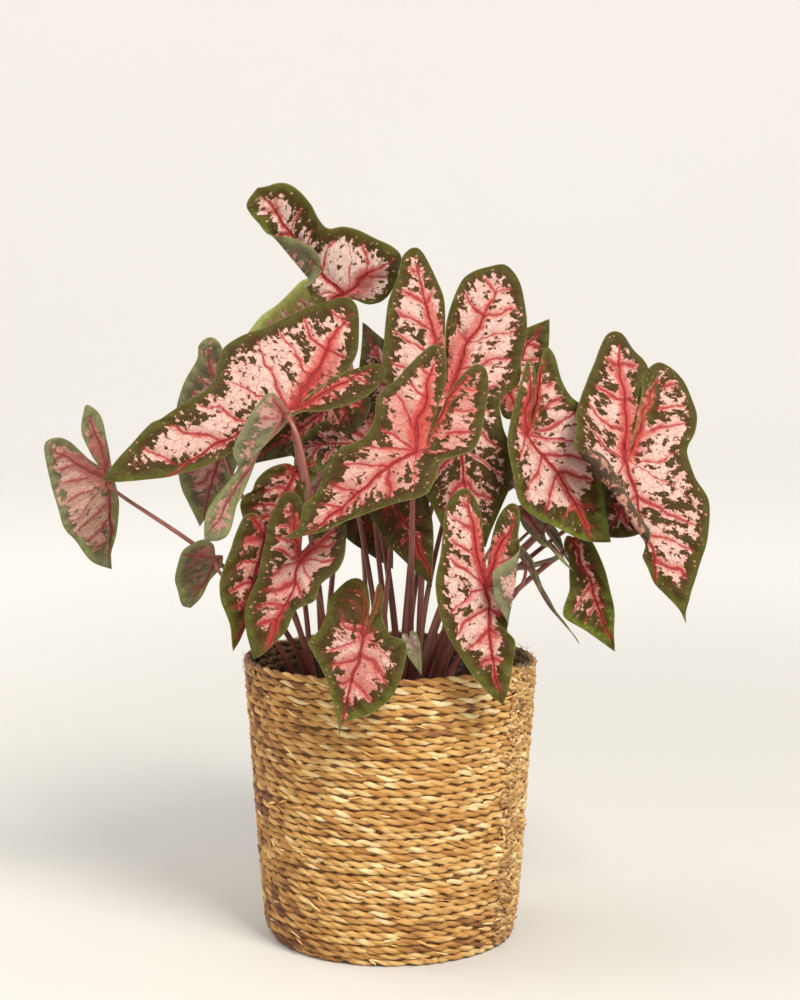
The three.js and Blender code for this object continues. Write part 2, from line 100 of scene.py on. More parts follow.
def leaf_row(name, joint, aim, foot, stem=(1.7, 1.1), fold=(8, 8), tuber="tuber_main", **shape):
    """A leaf: where its stem joins the blade, which way the blade points (heading, dip and roll in
    degrees), the stem's foot, its radius at the foot and at the blade, how far the blade is folded
    along its midrib, and the tuber it grows from. Its shape is told by its margin from the tip round
    the right side, the notch and the left side back to the tip, or for a plain blade by its length,
    width and lobes' reach, by the middle of its rings, and by how its lobes rise, its tip droops and
    its margin curls. Sweep, lean and seat say how its stem bows and how close it ends to the blade."""
    return dict(name=name, joint=joint, aim=aim, foot=foot, stem=stem, fold=fold, tuber=tuber, **shape)


LEAVES = [
    leaf_row(
        "big_left", (-54, -52, 309), (-162, 20, -47), (-37, -9), stem=(2.2, 1.5), fold=(6, 8),
        tuber="tuber_left", lobes=-10, droop=14, notch=15, centre=(2, -2),
        margin=[
            110, 16, 89, 26, 72, 32, 63, 31, 34, 35, 23, 46, 15, 53, -6, 54, -35, 59, -57, 60, -64, 53,
            -61, 39, -54, 26, -43, 16, -31, 11, -7, 2, -32, 13, -41, 15, -51, 15, -60, 12, -60, 4,
            -42, -6, -19, -9, -3, -5, 22, -9, 50, -8, 69, -4, 89, 4, 102, 10,
        ],
    ),
    leaf_row(
        "top_curl", (-30, 40, 372), (-147, -47, -116), (5, -9), stem=(2, 1.3), fold=(10, 5), droop=-20,
        notch=11, curls=[(63, -6, -178, 2, 160, 0, 40)],
        margin=[
            91, 1, 81, 16, 64, 19, 48, 17, 38, 18, 32, 26, 17, 35, -2, 42, -14, 34, -22, 21, -20, 9,
            -9, 3, -12, -5, -3, -14, 6, -16, 15, -14, 22, -15, 24, -21, 32, -26, 44, -24, 56, -16,
            63, -13, 70, -11, 80, -11, 88, -9,
        ],
    ),
    leaf_row(
        "upper_left_back", (-34, 64, 342), (170, -2, 67), (-5, -8), fold=(0, 0), notch=4,
        margin=[
            56, 0, 41, 11, 19, 19, 0, 14, -6, 2, -9, -8, -6, -20, 3, -36, 15, -40, 26, -31, 35, -22,
            45, -14,
        ],
    ),
    leaf_row(
        "left_back", (-97, 8, 287), (134, 67, 46), (-45, -5), stem=(1.8, 1.1), fold=(-8, -8),
        tuber="tuber_left", notch=9,
        margin=[
            57, 0, 48, 3, 31, 9, 19, 11, 0, 14, -19, 18, -34, 15, -37, 7, -27, 1, -9, -1, -37, -5,
            -51, -11, -59, -17, -59, -23, -53, -27, -44, -26, -28, -30, -8, -30, 13, -25, 34, -17,
            44, -10,
        ],
    ),
    leaf_row(
        "far_left", (-160, -22, 265), (90, 75, -19), (-46, -12), fold=(-10, -35), tuber="tuber_left",
        notch=11, centre=(-4, 0),
        margin=[
            53, 0, 45, 0, 30, 4, 11, 6, -4, 4, -27, 1, -41, -2, -48, -9, -45, -12, -34, -15, -20, -10,
            -12, -5, -20, -14, -29, -21, -33, -28, -30, -35, -19, -35, 8, -30, 22, -27, 32, -20, 43, -14,
            48, -9,
        ],
    ),
    leaf_row(
        "small_left", (-98, -42, 223), (145, 57, 37), (-52, -18), stem=(1.6, 1), fold=(-10, -10),
        tuber="tuber_left", notch=5,
        margin=[
            33, 0, 24, 3, 13, 3, 3, 5, -5, 3, -4, -1, -11, -6, -13, -13, -8, -19, -1, -22, 14, -19,
            23, -13, 32, -6,
        ],
    ),
    leaf_row(
        "hang_twist", (-57, -70, 306), (-162, 56, 86), (-39, -16), stem=(1.9, 1.3), fold=(-12, -12),
        tuber="tuber_left", notch=9, centre=(30, -4),
        margin=[
            80, 0, 75, 7, 68, 9, 57, 5, 48, 4, 37, 2, 20, -1, 5, 3, -3, 3, -4, -1, -6, -7, -6, -15,
            3, -17, 16, -17, 31, -15, 37, -6, 45, -6, 58, -8, 69, -7, 75, -4,
        ],
    ),
    leaf_row(
        "tall_center", (32, 2, 315), (-59, 64, 15), (16, -6), stem=(2, 1.4), fold=(6, 6), droop=10,
        notch=16, centre=(8, 2),
        margin=[
            92, -5, 84, 14, 63, 23, 46, 26, 25, 30, 2, 34, -17, 36, -32, 32, -57, 23, -75, 12, -87, 6,
            -91, -2, -86, -8, -66, -13, -50, -12, -28, -6, -8, -2, -25, -7, -45, -12, -64, -23, -72, -32,
            -75, -45, -71, -55, -55, -60, -29, -56, -14, -49, 2, -43, 10, -30, 24, -28, 40, -31, 56, -28,
            70, -19, 83, -10,
        ],
    ),
    leaf_row(
        "front_center", (12, -80, 286), (-158, 30, -48), (11, -23), stem=(2, 1.3), lobes=-6, droop=12,
        notch=16, curls=[(73, 4, -158, 7, 60)], centre=(-2, -4), seat=0.2,
        margin=[
            83, 7, 73, 6, 63, 14, 53, 16, 40, 24, 28, 27, 15, 24, 4, 29, -5, 39, -18, 41, -31, 45,
            -47, 49, -52, 47, -52, 39, -42, 26, -29, 16, -13, 2, -30, 14, -43, 22, -57, 26, -64, 26,
            -66, 20, -59, 9, -42, -7, -28, -18, -19, -16, -10, -13, -2, -19, 11, -26, 26, -20, 44, -12,
            61, -8, 76, 1,
        ],
    ),
    leaf_row(
        "mid_left_dark", (-11, 6, 287), (-164, 6, -39), (-1, -16), notch=8,
        margin=[
            52, -1, 37, 10, 25, 18, 14, 19, 5, 18, -4, 25, -12, 27, -13, 12, -4, 1, -7, -13, 1, -25,
            20, -25, 36, -21, 46, -13,
        ],
    ),
    leaf_row(
        "right_center", (78, -18, 293), (-37, 46, 29), (14, -14), stem=(1.9, 1.3), fold=(10, 8), droop=12,
        notch=14, centre=(4, 4), sweep=(0.4, 0.42), lean=(0.15, 0.1, 1),
        margin=[
            77, -8, 74, -2, 67, 9, 55, 19, 42, 30, 32, 32, 19, 26, -1, 15, -16, 0, -28, -14, -39, -27,
            -32, -27, -21, -19, -12, -11, -5, -4, -15, -14, -30, -28, -41, -41, -36, -43, -18, -37,
            -6, -35, 6, -37, 23, -32, 44, -22, 61, -14,
        ],
    ),
    leaf_row(
        "right_big", (131, -32, 278), (-48, 62, 13), (21, -21), stem=(2.1, 1.4), fold=(10, 10), lobes=-8,
        droop=10, notch=19, curls=[(-9, 28, -25, 1.8, 160, 0, 59)], centre=(0, -2), sweep=(0.3, 0.36),
        margin=[
            96, -10, 89, -9, 77, -3, 67, 3, 55, 8, 41, 15, 29, 21, 13, 29, 2, 33, -16, 30, -38, 15,
            -60, -6, -71, -16, -78, -24, -77, -32, -68, -39, -53, -42, -37, -35, -20, -19, -7, -7,
            -19, -16, -37, -29, -50, -37, -54, -49, -40, -58, -20, -57, -7, -50, 2, -40, 16, -40, 32, -44,
            51, -37, 69, -26, 82, -17, 89, -12,
        ],
    ),
    leaf_row(
        "right_behind", (149, 2, 273), (-145, 52, -44), (25, -9), fold=(0, 0), notch=6,
        margin=[
            51, 0, 40, 9, 26, 18, 13, 23, -1, 20, -7, 12, -2, 3, -12, 0, -8, -11, 7, -18, 24, -20,
            39, -15, 47, -7,
        ],
    ),
    leaf_row(
        "lower_right", (105, -5, 229), (-36, 65, 62), (29, -18), stem=(1.8, 1.2), fold=(12, 30), notch=10,
        centre=(8, -4),
        margin=[
            67, 0, 58, 6, 50, 12, 40, 21, 34, 20, 26, 13, 19, 10, 8, 6, 0, 6, -5, 2, -3, -1, -3, -7,
            4, -11, 13, -12, 28, -11, 42, -9, 55, -4,
        ],
    ),
    leaf_row(
        "front_low", (51, -84, 218), (-62, 74, 13), (17, -30), stem=(1.8, 1.2), fold=(10, 10), lobes=-8,
        droop=8, notch=12, curls=[(-17, -18, -165, 2.2, 150, -45, 0)], centre=(14, 4),
        margin=[
            67, -3, 58, 6, 38, 19, 22, 28, 2, 30, -24, 22, -44, 15, -50, 9, -52, 3, -48, -2, -38, -5,
            -20, -3, -6, -2, -18, -6, -34, -13, -41, -20, -39, -25, -31, -25, -17, -21, -8, -23, -1, -28,
            6, -33, 11, -34, 15, -30, 18, -24, 22, -16, 27, -10, 33, -13, 48, -10, 59, -7,
        ],
    ),
    leaf_row(
        "center_small", (-14, -88, 189), (-121, 64, -42), (3, -27), lobes=-25, notch=13,
        curls=[(13, 25, 29, 4, -32)],
        margin=[
            57, 0, 51, 1, 43, 5, 28, 15, 16, 27, 12, 29, 4, 25, -6, 23, -20, 22, -31, 16, -36, 9, -32, 3,
            -19, 0, -6, 0, -20, -2, -32, -2, -36, -4, -28, -7, -16, -7, -4, -13, -2, -23, 12, -25,
            29, -22, 40, -13, 46, -3, 50, 0,
        ],
    ),
    leaf_row(
        "left_front", (-48, -72, 226), (-139, 55, -21), (-33, -22), stem=(1.8, 1.1), fold=(8, 10),
        tuber="tuber_left", droop=8, notch=11,
        margin=[
            58, 4, 53, 8, 40, 17, 30, 20, 14, 20, -2, 25, -20, 29, -32, 29, -36, 25, -34, 18, -23, 11,
            -7, 4, -19, 3, -28, -1, -31, -9, -25, -18, -14, -23, -2, -25, 8, -18, 17, -18, 26, -10,
            38, -9, 52, -1,
        ],
    ),
    leaf_row(
        "left_front_back", (-69, -48, 237), (-124, 64, -56), (-41, -23), stem=(1.8, 1.2),
        tuber="tuber_left", notch=14,
        margin=[
            66, 0, 59, 3, 52, 7, 46, 12, 41, 16, 33, 19, 24, 19, 13, 18, 7, 18, -2, 17, -7, 16, -10, 13,
            -11, 9, -8, 4, -5, 1, -13, -1, -18, -6, -18, -11, -10, -14, 3, -13, 17, -11, 32, -8, 47, -4,
            59, -2,
        ],
    ),
    leaf_row("narrow_edge", (74, -46, 223), (-30, 53, -24), (26, -30), fold=(12, 12), plain=(55, 34, 16)),
    leaf_row(
        "tiny_rolled", (11, -72, 184), (-51, 61, 49), (7, -35), stem=(1.5, 0.9), fold=(30, 30),
        plain=(21, 10, 5),
    ),
    leaf_row("back_low_center", (-21, 32, 249), (-21, 59, 72), (-12, -13), plain=(46, 36, 14)),
    leaf_row("center_low_dark", (3, -16, 255), (-26, 65, 62), (-6, -24), plain=(54, 34, 14)),
    leaf_row("right_top_dark", (69, 48, 317), (40, -48, 69), (15, 3), fold=(6, 6), plain=(52, 44, 18)),
    leaf_row(
        "right_low_fold", (73, 44, 257), (-16, 54, -2), (27, 0), stem=(1.8, 1.2), fold=(12, 12),
        plain=(60, 40, 18),
    ),
    leaf_row("back_mid", (5, 48, 308), (143, -58, -88), (6, -1), plain=(54, 44, 18)),
    leaf_row(
        "back_right", (42, 86, 286), (62, 38, 8), (9, 10), stem=(1.9, 1.3), droop=14, plain=(78, 62, 26),
    ),
    leaf_row(
        "back_left", (-30, 76, 285), (128, 44, -6), (-2, 3), stem=(1.9, 1.2), droop=14,
        plain=(74, 58, 24),
    ),
]

# Leaves deep in the tuft that the CAD model leaves out.
FILL_LEAVES = [
    leaf_row(
        "left_middle", (-53, -28, 270), (-164, 60, -91), (-45, -12), tuber="tuber_left", notch=9,
        margin=[
            45, 0, 40, 9, 34, 17, 29, 21, 23, 21, 20, 19, 13, 20, 4, 16, -3, 9, -4, 3, -11, 1, -12, -5,
            -8, -10, -2, -10, 5, -9, 10, -11, 20, -13, 31, -10, 40, -6,
        ],
    ),
    leaf_row(
        "twist_right", (74, -20, 249), (-35, 42, -153), (22, -20), fold=(-8, -8), notch=9,
        centre=(20, -2),
        margin=[
            47, 0, 39, 1, 35, 2, 27, 2, 23, 0, 15, 4, 10, 5, 6, 4, 0, 3, -4, 1, -2, -2, 2, -4, 10, -7,
            17, -6, 25, -5, 28, -2, 35, -2, 41, -1,
        ],
    ),
    leaf_row(
        "edge_right", (77, -8, 217), (11, -10, -16), (28, -16), stem=(1.6, 1), fold=(-6, -6), notch=6,
        centre=(4, -2),
        margin=[
            32, -1, 29, 1, 21, 1, 14, 1, 8, 1, 2, 1, -2, 1, 0, -21, 5, -23, 11, -22, 18, -16, 23, -8,
        ],
    ),
    leaf_row("right_shade", (87, -2, 241), (-25, 51, -7), (26, -20), stem=(1.5, 0.9), plain=(22, 15, 6)),
    leaf_row(
        "left_inner", (-28, 13, 310), (175, 35, -79), (-38, -10), stem=(1.8, 1.2), tuber="tuber_left",
        plain=(67, 40, 14),
    ),
]

# How a leaf is marked: the width of its green border, with what is added to it on the back lobes,
# towards the tip and on the underside, how much of the rest is green, how pale its pink and how
# bright its green is, and how far its midrib and the ribs of its back lobes are flanked by red.
USUAL_MARKS = dict(
    border=3.5, green=0.5, pale=0.5, fresh=0.3, dark_lobes=0, dark_tip=0, under=0, mid_red=0.3, lobe_red=0.15
)
MARKS = {
    "right_big": dict(pale=0.8, green=0.55, dark_lobes=-1, under=5, lobe_red=0.8),
    "right_center": dict(green=0.2, pale=0.9, fresh=1, dark_tip=10, mid_red=0.95, lobe_red=0.7),
    "right_behind": dict(border=2, green=0.2, pale=0.7),
    "big_left": dict(border=4.5, green=0.4, pale=0.65, lobe_red=0.5),
    "top_curl": dict(border=4, green=0.2, pale=1.2, fresh=0.4),
    "upper_left_back": dict(border=6, pale=0.8, fresh=1),
    "left_back": dict(border=4, pale=0.6, fresh=0.7),
    "far_left": dict(border=1.5, green=0.2, pale=0.7, fresh=0.6),
    "small_left": dict(border=11, green=0.8, pale=0.6, fresh=0.8),
    "tall_center": dict(border=3, lobe_red=0.5),
    "front_center": dict(border=4.5, green=0.1, pale=0.2, fresh=0.25, dark_lobes=-3, mid_red=0.6, lobe_red=0.9),
    "mid_left_dark": dict(border=4, green=0.6, fresh=0.6),
    "front_low": dict(border=2.5, green=0.15, pale=0.8, fresh=0.4, dark_tip=4, mid_red=0.55, lobe_red=0.9),
    "center_small": dict(border=4.5, green=0.05, pale=0.3, fresh=0.6, dark_lobes=16, mid_red=0, lobe_red=0.3),
    "left_front": dict(border=4, green=0.35, pale=0.35, fresh=0.35, dark_tip=6, mid_red=0.95, lobe_red=0.9),
    "left_front_back": dict(border=6, pale=0.2, fresh=0.4, dark_tip=6, mid_red=0.6, lobe_red=0.5),
    "lower_right": dict(border=5, pale=0.6, fresh=1.3, dark_tip=4, mid_red=0.6),
    "hang_twist": dict(border=1, green=0.25),
    "tiny_rolled": dict(border=0.5, green=0.3, pale=1, fresh=0.9),
    "twist_right": dict(border=0.8, green=0.1, pale=1, fresh=0.4),
    "left_middle": dict(border=5, green=0.6, pale=0.4, fresh=0.2),
    "left_inner": dict(border=8, green=0.7, pale=0.2, fresh=0.1),
    "right_shade": dict(border=6, green=0.6, pale=0.3, fresh=0.1),
    "center_low_dark": dict(border=11, green=0.6, fresh=0.2, dark_tip=4, mid_red=0.7),
    "back_low_center": dict(border=14, green=0.6, pale=0.3, fresh=0.1),
}

# Leaves whose right back lobe lies over the left one.
OVERLAPPING = (
    "right_big", "tall_center", "front_center", "right_center", "front_low", "center_small", "left_front",
    "big_left",
)
LOBE_LIFT = 1.3  # how far an overlapping lobe stands above the other
STOUT_STEMS = {"right_center": 1.4, "right_big": 1.3, "lower_right": 1.2}  # times the usual thickness
VALLEY_DROP = 6.0  # how far the inner half of a back lobe falls from its rib


# ---- random shapes -------------------------------------------------------------------------------
def wander(x, seed, count=512):
    """Smooth random values from -1 to 1 along x: random heights at whole numbers, eased between."""
    heights = np.random.RandomState(seed).uniform(-1, 1, count)
    whole = np.floor(x).astype(int)
    part = x - whole
    ease = part * part * (3 - 2 * part)
    return heights[whole % count] * (1 - ease) + heights[(whole + 1) % count] * ease


def ground(x, y, seed, count=64):
    """Smooth random values from -1 to 1 over the plane: random heights on a square grid, eased between."""
    heights = np.random.RandomState(seed).uniform(-1, 1, (count, count))
    i, j = np.floor(x).astype(int), np.floor(y).astype(int)
    s, t = x - i, y - j
    s, t = s * s * (3 - 2 * s), t * t * (3 - 2 * t)
    low = heights[i % count, j % count] * (1 - s) + heights[(i + 1) % count, j % count] * s
    high = heights[i % count, (j + 1) % count] * (1 - s) + heights[(i + 1) % count, (j + 1) % count] * s
    return low * (1 - t) + high * t


# ---- meshes --------------------------------------------------------------------------------------
def smoothstep(x, low, high):
    """0 below low, 1 above high, and eased between: the share squared times 3 less twice the share."""
    t = np.clip((x - low) / (high - low), 0, 1)
    return t * t * (3 - 2 * t)


def unit(vectors):
    """The vectors, each made one long."""
    return vectors / np.maximum(np.linalg.norm(vectors, axis=-1, keepdims=True), 1e-9)


def round_angles(count):
    """Even angles all the way round."""
    return np.linspace(0, 2 * math.pi, count, endpoint=False)


def turned(radius, angle, z):
    """Points at that radius and angle about the vertical, and at height z."""
    return np.stack(np.broadcast_arrays(radius * np.cos(angle), radius * np.sin(angle), z), -1)


def distance_along(path):
    """The length of a path up to each of its points."""
    return np.concatenate([[0], np.cumsum(np.linalg.norm(np.diff(path, axis=0), axis=1))])


def resample(path, length, even):
    """The points of a path at even distances along it, from the distances of its own points."""
    return np.stack([np.interp(even, length, column) for column in path.T], -1)


def quads(rows, columns, first=0):
    """The four corners of each square of a grid of closed rings of vertices."""
    r, c = np.meshgrid(np.arange(rows - 1), np.arange(columns), indexing="ij")
    right = (c + 1) % columns
    corners = [r * columns + c, r * columns + right, (r + 1) * columns + right, (r + 1) * columns + c]
    return np.stack(corners, -1).reshape(-1, 4) + first


def fan(middle, ring, outward=True):
    """Triangles from one middle vertex to a closed ring."""
    nxt = np.roll(ring, -1)
    lone = np.full(len(ring), middle)
    return np.stack([lone, ring, nxt] if outward else [lone, nxt, ring], -1)


def band(low, high):
    """The squares between two closed rings."""
    return np.stack([low, np.roll(low, -1), np.roll(high, -1), high], -1)


def capped(rows, sides):
    """Closed rings of vertices, and a fan over either end from the two vertices that follow them."""
    size, ring = rows * sides, np.arange(sides)
    return [quads(rows, sides), fan(size, ring, False), fan(size + 1, ring + size - sides)]


def place_in_scene(name, mesh):
    """An object for a new mesh, smoothly shaded."""
    mesh.polygons.foreach_set("use_smooth", np.ones(len(mesh.polygons), bool))
    made = bpy.data.objects.new(name, mesh)
    bpy.context.scene.collection.objects.link(made)
    return made


def piece(name, points, faces, materials, fields=None, stands_for=()):
    """A mesh object riding on the plant's body. Points are in millimetres; fields are named values
    held at its vertices for the materials to read."""
    mesh = bpy.data.meshes.new(name)
    mesh.from_pydata((points * MM).tolist(), [], [face for group in faces for face in group.tolist()])
    for field, values in (fields or {}).items():
        kind, key = ("FLOAT_VECTOR", "vector") if values.ndim == 2 else ("FLOAT", "value")
        layer = mesh.attributes.new(field, kind, "POINT")
        layer.data.foreach_set(key, np.ravel(values).astype(np.float32))
    for material in materials:
        mesh.materials.append(material)
    mesh.update()
    made = place_in_scene(name, mesh)
    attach(made, "root")
    if stands_for:
        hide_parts(*stands_for)
    return made


# ---- blades --------------------------------------------------------------------------------------
def bend(points, u, v, turn, radius, angle, start=-999, end=999):
    """Rolls the part of a sheet to the left of a line through (u, v) with direction `turn` round a
    cylinder of the given radius, until it has turned by `angle` degrees towards the upper face. The
    roll opens out again before `start` and past `end`, measured along the line."""
    c, s = math.cos(math.radians(turn)), math.sin(math.radians(turn))
    side = math.copysign(1, angle)
    du, dv = points[:, 0] - u, points[:, 1] - v
    along = du * c + dv * s
    across = dv * c - du * s
    begun = smoothstep(along, start - ROLL_OPENS, start + ROLL_OPENS)
    not_ended = smoothstep(-along, -end - ROLL_OPENS, ROLL_OPENS - end)
    full = abs(math.radians(angle)) * begun * not_ended
    rolled = np.clip(across / radius, 0, full)
    straight = across - radius * rolled
    inner = radius - points[:, 2] * side
    new_across = inner * np.sin(rolled) + straight * np.cos(rolled)
    height = radius - inner * np.cos(rolled) + straight * np.sin(rolled)
    return np.stack([u + along * c - new_across * s, v + along * s + new_across * c, height * side], -1)


def bend_lines(leaf):
    """The lines a leaf is bent about: rolled margins, the fold along its midrib, the rise of its back
    lobes and the droop of its tip."""
    left, right = leaf["fold"]
    lines = [
        *leaf.get("curls", []),
        (0, 0, 0, FOLD_BEND_RADIUS, right),
        (0, 0, 180, FOLD_BEND_RADIUS, left),
        (0, 0, 90, LOBE_BEND_RADIUS, leaf.get("lobes", 0)),
        (0, 0, -90, DROOP_BEND_RADIUS, -leaf.get("droop", 0)),
    ]
    return [line for line in lines if line[4]]


def leaf_axes(leaf):
    """Unit vectors along the midrib, to the right of it and out of the upper face."""
    heading, dip, roll = np.radians(leaf["aim"])
    plan = np.array([math.cos(heading), math.sin(heading), 0])
    up = np.array([0, 0, 1])
    tip = plan * math.cos(dip) - up * math.sin(dip)
    level = plan * math.sin(dip) + up * math.cos(dip)
    upper = level * math.cos(roll) + np.cross(tip, level) * math.sin(roll)
    return tip, np.cross(tip, upper), upper


def place(leaf, sheet):
    """Points of the flat sheet (u, v, h), bent and carried to the leaf's joint."""
    for line in bend_lines(leaf):
        sheet = bend(sheet, *line)
    return np.array(leaf["joint"]) + sheet @ np.array(leaf_axes(leaf))


def plain_margin(length, width, back):
    """The margin of a plain arrow-shaped blade from its length, greatest width and lobes' reach."""
    half = [
        (0.72 * length, 0.2 * width),
        (0.38 * length, 0.42 * width),
        (0.02 * length, 0.5 * width),
        (-0.6 * back, 0.42 * width),
        (-back, 0.24 * width),
        (-0.75 * back, 0.08 * width),
    ]
    return [(length, 0), *half, (-0.12 * back, 0), *[(u, -v) for u, v in reversed(half)]]


def corner_points(leaf):
    """The margin's few points, and the number of the one where the back lobes part."""
    corners = plain_margin(*leaf["plain"]) if "plain" in leaf else leaf["margin"]
    corners = np.array(corners, float).reshape(-1, 2)
    return corners, leaf.get("notch", len(corners) // 2)


def run(points):
    """A smooth curve through a few points, at even steps: Catmull-Rom arcs with loose ends."""
    padded = np.vstack([2 * points[0] - points[1], points, 2 * points[-1] - points[-2]])
    t = np.linspace(0, 1, 24, endpoint=False)[:, None]
    a, b, c, d = (padded[i : len(padded) - 3 + i, None] for i in range(4))
    curve = 0.5 * (2 * b + (c - a) * t + (2 * a - 5 * b + 4 * c - d) * t**2 + (3 * b - a - 3 * c + d) * t**3)
    curve = np.vstack([curve.reshape(-1, 2), points[-1:]])
    length = distance_along(curve)
    return resample(curve, length, np.linspace(0, length[-1], max(4, int(length[-1] / MARGIN_STEP))))


def margin_distance(points, margin):
    """Distance from each point to the closed margin, segment by segment."""
    span = np.roll(margin, -1, axis=0) - margin
    away = points[:, None] - margin[None]
    share = np.clip((away * span).sum(-1) / np.maximum((span**2).sum(-1), 1e-9), 0, 1)
    return np.linalg.norm(away - share[..., None] * span, axis=-1).min(1)


def valley(flat, rib, side):
    """The inner half of each back lobe falls away from its rib towards the notch."""
    along = (flat * rib[:, :2]).sum(-1)
    inner = (rib[:, 0] * flat[:, 1] - rib[:, 1] * flat[:, 0]) * side
    deep = VALLEY_DROP * smoothstep(rib[:, 2], 10, 45)
    return deep * smoothstep(inner, 0, 12) * smoothstep(along / rib[:, 2], 0.04, 0.35)


def lobe_ribs(corners, notch):
    """Direction and length of the ribs that run from the joint into the two back lobes."""
    ribs = []
    for side, away in ((corners[1:notch], (-0.6, 0.8)), (corners[notch + 1 :], (-0.6, -0.8))):
        back = side[side[:, 0] < 0]
        end = back[np.argmax(np.linalg.norm(back, axis=1))] * 0.86 if len(back) else np.array(away)
        length = np.linalg.norm(end)
        ribs.append((*(end / length), length))
    return np.array(ribs)


def blade(leaf, number, materials, stands_for):
    """A closed sheet: a point of each ring lies a share of the way from the blade's centre to its
    margin, on the upper face and again on the underside. The margin waves up and down, and where the
    back lobes overlap, the inner part of one stands a little above the other."""
    corners, notch = corner_points(leaf)
    # the whole margin at even steps, with corners only at the tip and the notch
    right, left = run(corners[: notch + 1]), run(np.vstack([corners[notch:], corners[:1]]))
    margin = np.vstack([right[:-1], left[:-1]])
    count = len(margin)
    centre = np.array([leaf.get("centre", (4, 0))], float)
    shares = np.linspace(1 / BLADE_RINGS, 1, BLADE_RINGS)
    flat = np.vstack([centre, (centre + (margin - centre) * shares[:, None, None]).reshape(-1, 2)])
    edge = margin_distance(flat, margin)
    edge[-count:] = 0
    seed = number * 7 + 3
    around = np.concatenate([[0], np.tile(np.arange(count) * MARGIN_STEP, BLADE_RINGS)])
    from_tip = np.minimum(around, count * MARGIN_STEP - around)
    ruffle = wander(around / RUFFLE_LENGTH, seed) * RUFFLE * np.exp(-edge / 7) * smoothstep(from_tip, 0, 12)
    swell = ground(*(flat / SWELL_WIDTH + 9).T, seed + 1) * SWELL
    quiet = smoothstep(np.linalg.norm(flat, axis=1), 2, 14)
    column = (np.arange(len(flat)) - 1) % count
    notch_step = np.argmin(np.linalg.norm(margin - corners[notch], axis=1))
    side = np.where(column < notch_step, 1.0, -1.0)
    side[0] = 1.0
    rib = np.where(side[:, None] > 0, *lobe_ribs(corners, notch)[:, None])
    overlap = side * (leaf["name"] in OVERLAPPING) * LOBE_LIFT * smoothstep(-flat[:, 0], 2, 16)
    lift = (ruffle + swell) * quiet + overlap - valley(flat, rib, side)
    half = BLADE_THICKNESS / 2 * np.where(edge < 0.01, MARGIN_THICKNESS, 1)
    face = 1 + BLADE_RINGS * count
    ring = np.arange(1, count + 1)
    outer = ring + face - 1 - count
    faces = [
        quads(BLADE_RINGS, count, first=1),
        fan(0, ring, False),
        band(outer, outer + face),
        quads(BLADE_RINGS, count, first=1 + face)[:, ::-1],
        fan(face, ring + face),
    ]
    marks = {**USUAL_MARKS, **MARKS.get(leaf["name"], {})}
    both = np.vstack([flat, flat])
    reach = corners[0, 0]
    tip_share = both[:, 0] / reach
    border = marks["border"] - marks["under"] * (np.arange(2 * face) >= face)
    border = border + marks["dark_lobes"] * smoothstep(-both[:, 0], 0, 10)
    fields = {
        "flat": np.column_stack([both, np.full(2 * face, float(number))]),
        "edge": np.tile(edge, 2),
        "rib": np.vstack([rib, rib]),
        "side": np.tile(side, 2),
        "border": border + marks["dark_tip"] * smoothstep(tip_share, 0.4, 0.8),
        "fresh": marks["fresh"] * (0.3 + 0.7 * smoothstep(tip_share, 0.3, 0.8)),
        "reach": np.full(2 * face, reach),
        **{key: np.full(2 * face, marks[key]) for key in ("green", "pale", "mid_red", "lobe_red")},
    }
    points = np.vstack([place(leaf, np.column_stack([flat, lift + h])) for h in (half, -half)])
    made = piece(f"leaf_{leaf['name']}_blade", points, faces, materials, fields, stands_for)
    if len(materials) > 1:
        under = np.arange(len(made.data.polygons)) >= sum(map(len, faces[:3]))
        made.data.polygons.foreach_set("material_index", under.astype(int))


# ---- stems ---------------------------------------------------------------------------------------
def tube(path, radii, sides, across=None):
    """Rings of vertices round a path, each square to it, with a point closing either end. Returns
    the points, faces, the distance along the path and the turn round it at each vertex."""
    tangent = unit(np.gradient(path, axis=0))
    if across is None:
        across = np.cross(path[1] - path[0], path[-1] - path[-2])
        if np.linalg.norm(across) < 1e-6:
            across = np.array([0.0, 1.0, 0.0])
    across = np.broadcast_to(across, path.shape)
    side = unit(across - (across * tangent).sum(-1, keepdims=True) * tangent)
    up = np.cross(tangent, side)
    turn = round_angles(sides)
    ring = np.cos(turn)[:, None] * side[:, None] + np.sin(turn)[:, None] * up[:, None]
    points = (path[:, None] + ring * radii[:, None, None]).reshape(-1, 3)
    along = distance_along(path)
    lengthwise = np.concatenate([np.repeat(along, sides), along[:1], along[-1:]])
    round_it = np.concatenate([np.tile(turn, len(path)), [0, 0]])
    return np.vstack([points, path[:1], path[-1:]]), capped(len(path), sides), lengthwise, round_it


def stem_path(leaf):
    """A cubic curve that rises from the tuber, arches over and meets the blade's underside."""
    upper = leaf_axes(leaf)[2]
    tuber = TUBERS[leaf["tuber"]]
    x, y = leaf["foot"]
    away = ((x - tuber["middle"][0]) ** 2 + (y - tuber["middle"][1]) ** 2) / tuber["radius"] ** 2
    crown = tuber["top"] - tuber["height"] / 2 * (1 - math.sqrt(max(1 - away, 0)))
    foot = np.array([x, y, max(crown, SOIL_TOP) + STEM_CLEARANCE])
    head = np.array(leaf["joint"]) - upper * (0.5 + leaf.get("seat", 0.6))
    span = np.linalg.norm(head - foot)
    rise, arch = leaf.get("sweep", (0.4, 0.22))
    lean = unit(np.array(leaf.get("lean", (0, 0, 1)), float))
    first, last = foot + lean * rise * span, head - upper * arch * span
    t = np.linspace(0, 1, 200)[:, None]
    curve = (1 - t) ** 3 * foot + 3 * (1 - t) ** 2 * t * first + 3 * (1 - t) * t**2 * last + t**3 * head
    length = distance_along(curve)
    even = np.linspace(0, length[-1], STEM_RINGS)
    path = resample(curve, length, even)
    path[-1] += upper * 0.9
    return path, even


